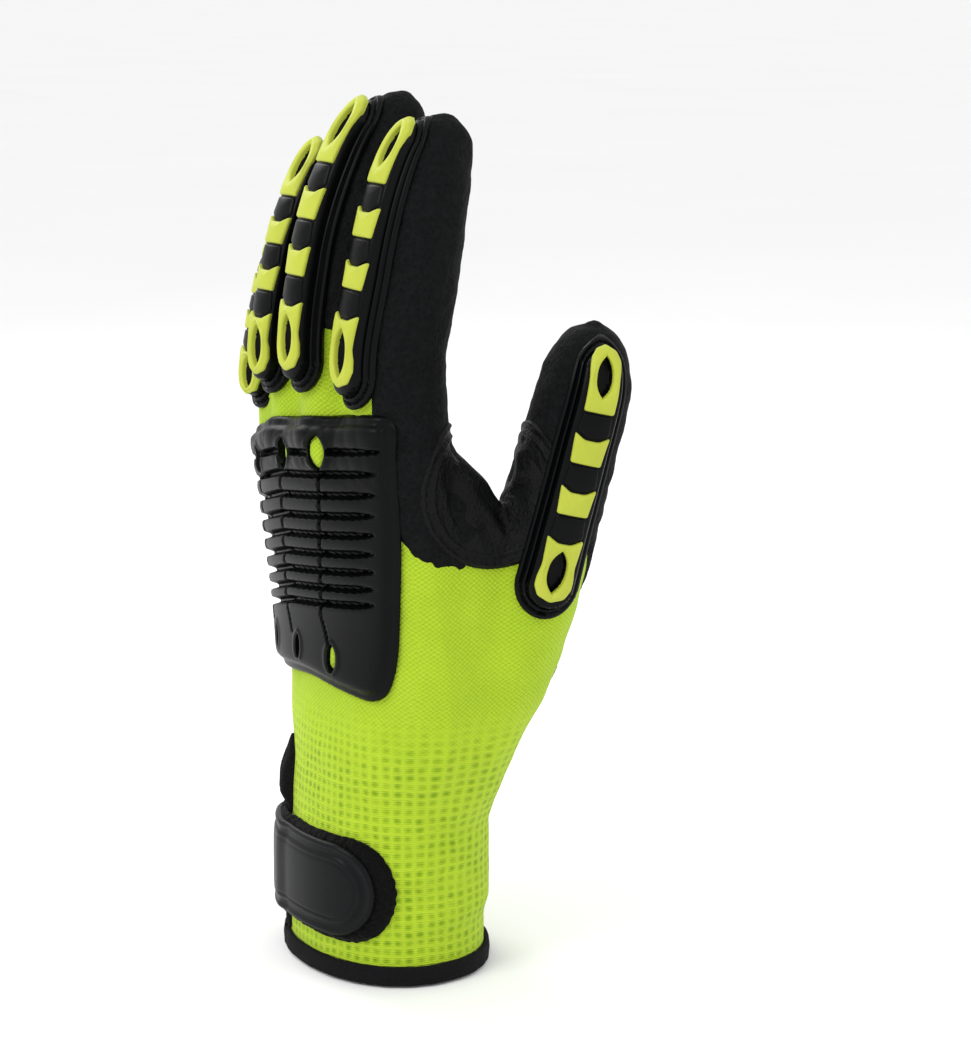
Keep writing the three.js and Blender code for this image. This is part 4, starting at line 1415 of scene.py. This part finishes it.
@dataclass
class FingerGuard:
    """Moulded guard along one finger: stepped flange, black bridges and four lime inserts."""

    digit: Digit
    finger: FingerForm
    start: float
    length: float
    body_half: float = 4.8
    seat: float = 1.3
    half: float = 9.25
    top: float = 5.0
    notch: float = 1.6
    eyelet_share: float = 5.8 / 78
    hollow: float = 2.3
    bridge_low: float = 3.4
    insert_low: float = 3.2
    spans: list[tuple[str, float, float]] = field(default_factory=lambda: [
        ("base_loop", 0.077, 0.3),
        ("inner_band", 0.38, 0.478),
        ("outer_band", 0.557, 0.66),
        ("tip_loop", 0.736, 0.974),
    ])
    steps: Rows = field(default_factory=lambda: [
        (0, 0.5), (0.35, 1.15), (0.9, 1.35), (1.35, 1.3), (1.6, 0.75), (1.95, 0.75), (2.25, 1.55), (2.7, 1.8),
        (3.1, 1.75), (3.35, 1.2), (3.6, 1.25), (3.9, 2.9), (4.25, 3.9), (4.7, 4.2), (10, 4.2)])

    def parts(self) -> list[tuple[str, float, float]]:
        """Names of the inserts with their lower and upper ends in millimetres."""
        return [(part, low * self.length, high * self.length) for part, low, high in self.spans]

    def place(self, side: Array, at: Array, height: Array) -> Array:
        """Point over the finger.

        Args:
            side: distance from the guard's middle line.
            at: length along the guard.
            height: height over the seat.

        Returns:
            The points.
        """
        radius = 0.25 * (self.finger.width + self.finger.depth) + self.seat
        return self.finger.point(self.start + at / self.finger.length, side / radius, self.seat + height)

    def edge(self, side: Array, at: Array) -> Array:
        """Distance inside a strip with round ends."""
        nearest = np.clip(at, self.half, self.length - self.half)
        return self.half - np.hypot(side, at - nearest)

    def eyelet(self, part: str, low: float, high: float) -> tuple[float, float, float]:
        """Places a loop's eyelet, a rounded lens.

        Args:
            part: name of the loop.
            low: lower end of the loop in millimetres.
            high: upper end of the loop.

        Returns:
            Middle, half width and half length.
        """
        long = self.eyelet_share * self.length
        middle = high - 1.5 * long if part == "tip_loop" else low + 1.4 * long
        return middle, 0.5 * self.body_half, long

    def base_height(self, side: Array, at: Array, room: Array) -> Array:
        """Steps of the flange from its edge inwards, then the table with hollows at the eyelets.

        Args:
            side: distance from the guard's middle line.
            at: length along the guard.
            room: distance to the outline.

        Returns:
            Height over the seat: lip, channel, ridge, channel and table.
        """
        height = profile(room, self.steps)
        for part, low, high in self.parts():
            if part.endswith("loop"):
                middle, half, long = self.eyelet(part, low, high)
                lens = lens_room(side, at - middle, half, long)
                height = height - self.hollow * ramp(lens, -0.3, 0.5) * (np.abs(at - middle) < long + 1)
        return height

    def loop_outline(self, low: float, high: float, tip: bool) -> Array:
        """Corners of a loop: round towards the fingertip, or round towards the hand and notched.

        Args:
            low: lower end in millimetres.
            high: upper end.
            tip: whether the loop is the one at the fingertip.

        Returns:
            Rows of side and length.
        """
        half = self.body_half
        middle = 0.5 * (low + high)
        if tip:
            points = [(0.86, low), (0.93, middle), (1, high - 1.5 * half), (1, high - 0.9 * half),
                      (0.72, high - 0.3 * half), (0, high), (-0.72, high - 0.3 * half),
                      (-1, high - 0.9 * half), (-1, high - 1.5 * half), (-0.93, middle), (-0.86, low)]
        else:
            points = [(0, low), (0.72, low + 0.3 * half), (1, low + 0.9 * half), (1, low + 1.5 * half),
                      (0.9, middle + 0.2 * half), (1, high), (0.35, high - self.notch),
                      (-0.35, high - self.notch), (-1, high), (-0.9, middle + 0.2 * half),
                      (-1, low + 1.5 * half), (-1, low + 0.9 * half), (-0.72, low + 0.3 * half)]
        return np.array([(half * x, y) for x, y in points])

    def band_outline(self, low: float, high: float) -> Array:
        """Corners of a short block with a horned far end.

        Args:
            low: lower end in millimetres.
            high: upper end.

        Returns:
            Rows of side and length.
        """
        points = [(-0.86, low), (0, low), (0.86, low), (1, high), (0.4, high - self.notch),
                  (-0.4, high - self.notch), (-1, high)]
        return np.array([(self.body_half * x, y) for x, y in points])

    def bridges(self) -> list[Shell]:
        """Black blocks between the inserts, each with a tongue in the notch of the one below.

        Returns:
            One closed shell for each gap.
        """
        shells = []
        parts = self.parts()
        for (_, _, low), (_, high, _) in zip(parts, parts[1:]):
            foot = low + 0.5
            points = [(-0.96, foot), (-0.4, foot - self.notch), (0.4, foot - self.notch), (0.96, foot),
                      (0.84, high - 0.4), (-0.84, high - 0.4)]
            outline = rounded(np.array([(self.body_half * x, y) for x, y in points]), 0.5)
            shells.append(Moulding(outline, self.place, self.bridge_low, self.top - 0.25, 0.7, 0.2).shell())
        return shells

    def build(self) -> None:
        """Builds the base with its bridges, and the inserts."""
        name = self.digit.value
        base = Relief((-self.half, self.half), (0, self.length), self.edge, self.base_height, self.place,
                      -1.0, 0.42).shell()
        base.joined(*self.bridges()).piece(f"{name}_guard_body", Slot.GUARD, [f"{name}_guard_base"], 38)
        for part, low, high in self.parts():
            corners, eyelet = self.band_outline(low, high), None
            if part.endswith("loop"):
                corners = self.loop_outline(low, high, part == "tip_loop")
                eyelet = self.eyelet(part, low, high)
            outline = rounded(corners, 0.55)
            Moulding(outline, self.place, self.insert_low, self.top + 0.1, 0.8, 0.3, eyelet).shell().piece(
                f"{name}_{part}_insert", Slot.INSERT, [f"{name}_{part}"], 60)


@dataclass
class KnucklePlate:
    """Moulded plate on the back of the hand: rim, nine cross grooves and three pairs of eyelets."""

    hand: HandForm
    middle: float = 2.0
    width: float = 70.0
    top: float = 168.3
    bottom: float = 84.5
    arch: float = 3.8
    corner: float = 8.0
    groove_count: int = 9
    groove_top: float = 157.9
    groove_pitch: float = 6.6
    groove_gain: float = 0.12
    groove_width: float = 1.6
    groove_depth: float = 2.4
    rib_depth: float = 0.45
    line_depth: float = 1.3
    line_foot: float = 101.0
    collar_height: float = 0.35
    least_height: float = 0.8
    lines: tuple[float, ...] = (-27.0, -10.8, 9.0)
    side: Rows = field(default_factory=lambda: [
        (29.5, 86.3), (32.6, 91.5), (34.4, 98.0), (35.6, 106.0), (36.8, 114.6), (38.0, 122.0), (39.1, 130.0),
        (39.9, 138.0), (40.4, 146.0), (40.4, 154.0), (40.2, 162.0)])
    rim: Rows = field(default_factory=lambda: [
        (0, 0.8), (0.35, 1.5), (0.9, 2.0), (1.9, 2.25), (2.4, 2.4), (3.2, 3.5), (4.0, 4.2), (5.2, 4.5),
        (7, 4.6), (60, 4.6)])
    eyes: Rows = field(default_factory=lambda: [
        (-20.6, 151.4, 2.4, 4.8), (-2.2, 156.8, 2.6, 4.8), (15.3, 160.0, 2.9, 5.6),
        (-20.6, 97.0, 1.2, 4.0), (-4.3, 97.8, 1.3, 4.0), (13.0, 98.0, 1.9, 4.6)])

    def __post_init__(self) -> None:
        """Finds the side away from the thumb and the outline."""
        self.left = self.middle - 0.5 * self.width
        self.corners = self.outline()

    def rise(self, x: Array) -> Array:
        """Climb of the top edge and the grooves towards the thumb, steeper on the far side."""
        return 0.15 * (x - self.middle) + 0.13 * np.minimum(x + 8, 0)

    def outline(self) -> Array:
        """Corners of the plate: wavy at the fingers, arched at the wrist, bulging at the thumb.

        The top edge is top + rise(x) with a wave of 21 mm, the bottom edge is
        bottom + arch (1 - (2 d / width) ** 2) at a distance d from the middle.

        Returns:
            Rows of x and z with rounded corners.
        """
        side = np.array(self.side)
        x = np.linspace(side[-1, 0] - 0.6, self.left, 60)
        crest = self.top + self.rise(x) + 0.5 * np.cos(2 * math.pi * (x - 9) / 21) - 0.2
        x_low = np.linspace(self.left, side[0, 0] - 1, 40)
        low = self.bottom + self.arch * (1 - (2 * (x_low - self.middle) / self.width) ** 2)
        low += 0.9 * np.exp(-((x_low + 2) / 9) ** 2)
        level = np.linspace(side[0, 1], side[-1, 1], 40)
        right = np.column_stack([np.interp(level, side[:, 1], side[:, 0]), level])
        corners = np.concatenate([np.column_stack([x, crest]), np.column_stack([x_low, low]), right])
        return rounded(corners, 0.8 * self.corner, 0.6)

    def edge(self, x: Array, z: Array) -> Array:
        """Distance inside the outline and outside the eyelets."""
        return np.minimum(polygon_distance(x, z, self.corners), -self.eyelets(x, z))

    def eyelets(self, x: Array, z: Array) -> Array:
        """Distance inside the nearest eyelet, a rounded lens.

        Args:
            x: places across the hand.
            z: places along the hand.

        Returns:
            One distance for each place, below 0 outside.
        """
        best = np.full(np.shape(x), -99.0)
        for line, level, half, length in self.eyes:
            lens = lens_room(x - line, z - level, half, length)
            best = np.maximum(best, np.where(np.abs(z - level) < length + 2, lens, -9))
        return best

    def height(self, x: Array, z: Array, room: Array) -> Array:
        """Rolled rim and table by the distance to the outline, less grooves and thin lines.

        Groove k lies pitch k - gain k ** 2 under the first one, which follows the rise at x, and
        k is found from the height by the root of that square.

        Args:
            x: places across the hand.
            z: places along the hand.
            room: distance to the nearest edge, not used; the eyelets have no rim, so the distance to
            the outline is taken instead.

        Returns:
            Height over the knit.
        """
        room = np.maximum(polygon_distance(x, z, self.corners), 0)
        surface = profile(room, self.rim)
        eyelets = self.eyelets(x, z)
        fall = self.groove_top + self.rise(x) - z
        pitch, gain = self.groove_pitch, self.groove_gain
        number = (pitch - np.sqrt(np.clip(pitch**2 - 4 * gain * fall, 0.01, None))) / (2 * gain)
        nearest = np.clip(np.round(number), 0, self.groove_count - 1)
        apart = np.abs(fall - pitch * nearest + gain * nearest**2)
        stop = 31.0 + 0.125 * (z - 117)
        taper = np.clip((stop - x) / 7.0, 0, 1) ** 0.6
        taper *= np.clip((x - self.left - 0.4 - 2.6 * ramp(z, 124, 146)) / 2.0, 0, 1)
        half = 0.5 * self.groove_width * taper
        clear = ramp(-eyelets, 0.3, 1.3)
        depth = self.groove_depth * ramp(half - apart, -0.55, 0.5) * clear * ramp(half, 0, 0.4)
        held = ramp(number, -0.6, -0.3) * ramp(-number, -8.6, -8.3) * ramp(room, 2, 5) * ramp(stop - x, 0, 5)
        ribs = self.rib_depth * (0.5 + 0.5 * np.cos(2 * math.pi * number)) * held
        thin = np.zeros_like(surface)
        for line in self.lines:
            middle = line + 0.15 * np.maximum(z - 110, 0) + 0.35 * np.maximum(110 - z, 0)
            cut = ramp(0.5 - np.abs(x - middle), -0.3, 0.3)
            thin = np.maximum(thin, self.line_depth * cut * (z > self.line_foot) * (fall > 0))
        collar = self.collar_height * np.exp(-((eyelets + 0.9) / 0.7) ** 2)
        return np.maximum(surface - depth - ribs - thin + collar * (room > 5), self.least_height)

    def place(self, x: Array, z: Array, height: Array) -> Array:
        """Point over the back of the hand; the upper side rides over the knuckles."""
        lift = (self.hand.knuckles(x, z) + 0.7 * ramp(z, 140, 156)) * (height > 0)
        return self.hand.back(x, z, height + lift)

    def build(self) -> None:
        """Builds the plate as one relief over the back of the hand."""
        across, along = (self.left, self.left + self.width + 4), (self.bottom - 1, self.top + 8)
        relief = Relief(across, along, self.edge, self.height, self.place, -1.2, 0.5)
        relief.shell().piece("knuckle_plate_moulding", Slot.GUARD, ["knuckle_plate"], 34)


@dataclass
class WristStrap:
    """Closed strap round the cuff: a brushed band with a round end, and a moulded tab over it."""

    hand: HandForm
    middle: float = 28.0
    start: float = -1.7
    stop: float = 1.06
    band_half: float = 16.0
    tab_half: float = 14.0
    band_thick: float = 1.5
    tab_inset: float = 6.6
    panel_inset: float = 3.4
    tab_rim: Rows = field(default_factory=lambda: [
        (0, 0.9), (0.4, 1.5), (0.9, 1.75), (1.5, 1.7), (2.0, 1.25), (2.6, 1.2), (60, 1.2)])
    tab_panel: Rows = field(default_factory=lambda: [
        (-1, 0), (0, 0.0), (0.5, 0.55), (1.0, 0.7), (1.6, 0.7), (1.9, 0.5), (2.4, 0.8), (60, 0.9)])

    def __post_init__(self) -> None:
        """Finds the ends of band and tab as lengths round the cuff."""
        self.first = self.start * self.hand.cuff_radius
        self.last = self.stop * self.hand.cuff_radius
        self.tab_last = self.last - self.tab_inset

    def place(self, arc: Array, z: Array, height: Array) -> Array:
        """Point over the cuff, lifted where the strap passes over the slit's binding.

        Args:
            arc: length round the cuff.
            z: height over the strap's middle line.
            height: height over the strap's seat.

        Returns:
            The points.
        """
        angle = arc / self.hand.cuff_radius
        lift = 1.2 * ramp(angle, -0.99, -0.785) * ramp(-angle, 0.188, 0.377)
        return self.hand.body(self.middle + z, angle, 0.3 + lift + height)

    def end_room(self, arc: Array, z: Array, last: float, half: float) -> Array:
        """Distance inside a band with a straight start and a round end.

        Args:
            arc: length round the cuff.
            z: height over the middle line.
            last: end of the band round the cuff.
            half: half of its height.

        Returns:
            One distance for each place.
        """
        nearest = np.minimum(arc, last - half)
        return np.minimum(half - np.hypot(z, arc - nearest), arc - self.first)

    def band_edge(self, arc: Array, z: Array) -> Array:
        """Distance inside the band, a little ragged from its pile."""
        ragged = 0.25 * ripple(np.stack([arc, z, 0 * arc], axis=1), 2.2, 41)
        return self.end_room(arc, z, self.last, self.band_half) + ragged

    def band_height(self, arc: Array, z: Array, room: Array) -> Array:
        """Thickness of the band with a soft, rough edge.

        Args:
            arc: length round the cuff.
            z: height over the middle line.
            room: distance to the edge.

        Returns:
            Height over the seat.
        """
        flat = np.stack([arc, z, 0 * arc], axis=1)
        pile = 0.22 * ripple(flat, 1.6, 42) + 0.15 * ripple(flat, 3.3, 43)
        return self.band_thick * (0.35 + 0.65 * ramp(room, 0, 1.4)) + pile

    def tab_edge(self, arc: Array, z: Array) -> Array:
        """Distance inside the tab."""
        return self.end_room(arc, z, self.tab_last, self.tab_half)

    def tab_height(self, arc: Array, z: Array, room: Array) -> Array:
        """Rolled rim, channel, and a raised blank panel with a bevel.

        Args:
            arc: length round the cuff.
            z: height over the middle line.
            room: distance to the edge.

        Returns:
            Height over the seat.
        """
        panel = self.end_room(arc, z, self.tab_last - self.panel_inset, self.tab_half - self.panel_inset)
        return self.band_thick + profile(room, self.tab_rim) + profile(panel, self.tab_panel)

    def build(self) -> None:
        """Builds the brushed band and the tab."""
        band, tab = self.band_half + 1, self.tab_half + 1
        Relief((self.first, self.last), (-band, band), self.band_edge, self.band_height, self.place, 0.0,
               0.5).shell().piece("strap_pile_band", Slot.STRAP, ["strap_fuzzy"], 50)
        Relief((self.first, self.last), (-tab, tab), self.tab_edge, self.tab_height, self.place,
               self.band_thick - 0.2, 0.45).shell().piece("strap_tab_moulding", Slot.TAB, ["strap_tab"], 38)


@dataclass
class CuffBindings:
    """Tape round the slit with its pointed top, and the tape folded over the hem."""

    hand: HandForm
    slit: CuffSlit = CuffSlit()
    foot: float = 6.3
    border: float = 3.6
    point: float = 6.0
    hem: float = 6.0

    def __post_init__(self) -> None:
        """Finds the outline of the slit's tape."""
        self.half = self.slit.half + self.border
        self.tip = self.slit.height + self.point
        shoulder = 0.75 * self.half
        self.corners = rounded(np.array([
            (-self.half, self.foot), (self.half, self.foot), (self.half, 29), (shoulder, self.slit.height),
            (0, self.tip), (-shoulder, self.slit.height), (-self.half, 29)]), 0.7)

    def slit_place(self, side: Array, z: Array, height: Array) -> Array:
        """Point over the cuff beside the slit."""
        return self.hand.body(z, self.slit.angle + side / self.hand.cuff_radius, height)

    def slit_edge(self, side: Array, z: Array) -> Array:
        """Distance inside the tape and outside the slit."""
        return np.minimum(polygon_distance(side, z, self.corners), self.slit.room(side, z))

    def slit_tape_height(self, side: Array, z: Array, room: Array) -> Array:
        """Rounded tape with a sewn line in its middle and a proud tip.

        Args:
            side: distance from the slit's middle line, not used.
            z: height over the hem.
            room: distance to the edge.

        Returns:
            Height over the knit.
        """
        body = 0.35 + 1.0 * np.sqrt(np.clip(room / 1.4, 0, 1))
        seam = 0.25 * np.exp(-((room - 1.75) / 0.25) ** 2)
        return body - seam + 2.6 * ramp(z, 44, 50) * ramp(-z, -66, -54)

    def build_slit(self) -> None:
        """Tape as a relief whose outline leaves the slit open."""
        Relief((-self.half, self.half), (6, self.tip), self.slit_edge, self.slit_tape_height, self.slit_place,
               -1.5, 0.35).shell().piece("slit_tape", Slot.BINDING, ["slit_binding"], 50)

    def build_hem(self) -> None:
        """Folded tape: a rounded U-shaped section carried round the cuff from slit to slit."""
        section = np.array([(0.4, 1.7), (3.2, 1.95), (self.hem - 0.3, 1.6), (self.hem, 0.2), (1.4, 0.15),
                            (1.2, -1.7), (self.hem, -1.75), (self.hem, -2.9), (0.6, -3.0), (0.0, -0.6)])
        line = rounded(section, 0.5, 0.3)
        gap = self.slit.half / self.hand.cuff_radius
        angles = np.linspace(self.slit.angle + gap, self.slit.angle - gap + 2 * math.pi, 220)
        z = np.broadcast_to(line[None, :, 0], (len(angles), len(line)))
        height = np.broadcast_to(line[None, :, 1], z.shape)
        rings = self.hand.body(z, angles[:, None], height)
        soft = 0.12 * ripple(rings.reshape(-1, 3), 6, 51).reshape(z.shape)
        rings = self.hand.body(z, angles[:, None], height + soft * (height > 0))
        loft(rings).piece("hem_tape", Slot.BINDING, ["hem_binding"], 50)

    def build(self) -> None:
        """Builds both tapes."""
        self.build_slit()
        self.build_hem()


@dataclass
class Studio:
    """Pale floor, soft lights and the camera at the photograph's angle."""

    eye: tuple[float, float, float] = (0.6928, -0.4, 0.3)
    look: tuple[float, float, float] = (0.014727, 0.026875, 0.133382)
    lens: float = 95.0
    aim: tuple[float, float, float] = (0.0, 0.0, 0.13)
    floor_radius: float = 30.0
    floor_level: float = -0.0004

    def camera(self) -> None:
        """Camera with a vertical sensor of 36 mm."""
        data = bpy.data.cameras.new("camera")
        data.sensor_fit = "VERTICAL"
        data.sensor_height = 36
        data.lens = self.lens
        data.clip_start = 0.01
        camera = bpy.data.objects.new("camera", data)
        camera.location = self.eye
        way = Vector(self.look) - Vector(self.eye)
        camera.rotation_euler = way.to_track_quat("-Z", "Y").to_euler()
        bpy.context.collection.objects.link(camera)
        bpy.context.scene.camera = camera

    def lamp(self, name: str, place: tuple[float, float, float], size: float, power: float) -> None:
        """Square area light that looks at the glove.

        Args:
            name: name of the light.
            place: its place in metres.
            size: length of its side in metres.
            power: its power in watts.
        """
        data = bpy.data.lights.new(name, "AREA")
        data.size = size
        data.energy = power
        lamp = bpy.data.objects.new(name, data)
        lamp.location = place
        way = Vector(self.aim) - Vector(place)
        lamp.rotation_euler = way.to_track_quat("-Z", "Y").to_euler()
        bpy.context.collection.objects.link(lamp)

    def build(self) -> None:
        """Floor, world, lights and camera."""
        mesh = bpy.data.meshes.new("floor")
        turn = np.linspace(0, 2 * math.pi, 64, endpoint=False)
        flat = [self.floor_radius * np.cos(turn), self.floor_radius * np.sin(turn)]
        ring = np.stack([*flat, np.full(len(turn), self.floor_level)], axis=1)
        mesh.from_pydata(ring.tolist(), [], [list(range(len(turn)))])
        floor = bpy.data.objects.new("floor", mesh)
        bpy.context.collection.objects.link(floor)
        floor.data.materials.append(PaperSweep().material())
        world = bpy.data.worlds.new("studio")
        world.use_nodes = True
        background = world.node_tree.nodes["Background"]
        background.inputs[0].default_value = linear("FFFFFF")
        background.inputs[1].default_value = 1.0
        bpy.context.scene.world = world
        self.lamp("key", (0.1, -0.9, 0.9), 0.5, 5)
        self.lamp("side", (0.9, 0.6, 0.7), 0.5, 1.5)
        self.lamp("back", (-0.9, -0.1, 0.8), 0.5, 4)
        bpy.context.scene.view_settings.view_transform = "Standard"
        self.camera()


def main() -> None:
    """Builds the scene in order."""
    logging.basicConfig(level=logging.INFO)
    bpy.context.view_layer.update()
    Studio().build()
    make_finishes()
    hand = HandForm()
    skin = hand.skin(1.25, 0.0)
    LOG.info("skin: %d triangles", len(skin.triangles))
    plate = KnucklePlate(hand)
    KnitLiner(hand, skin, swells=[eye for eye in plate.eyes if eye[2] > 1.5]).build()
    LatexCoating(hand, skin).build()
    CrotchPatch(skin).build()
    spans = {Digit.INDEX: (0.188, 78.0), Digit.MIDDLE: (0.2, 78.8), Digit.RING: (0.19, 68.6),
             Digit.LITTLE: (0.185, 54.6), Digit.THUMB: (0.44, 77.0)}
    for digit, (start, length) in spans.items():
        FingerGuard(digit, hand.fingers[digit], start, length, 4.1 if digit is Digit.THUMB else 4.8).build()
    plate.build()
    WristStrap(hand).build()
    CuffBindings(hand).build()


if __name__ == "__main__":
    main()
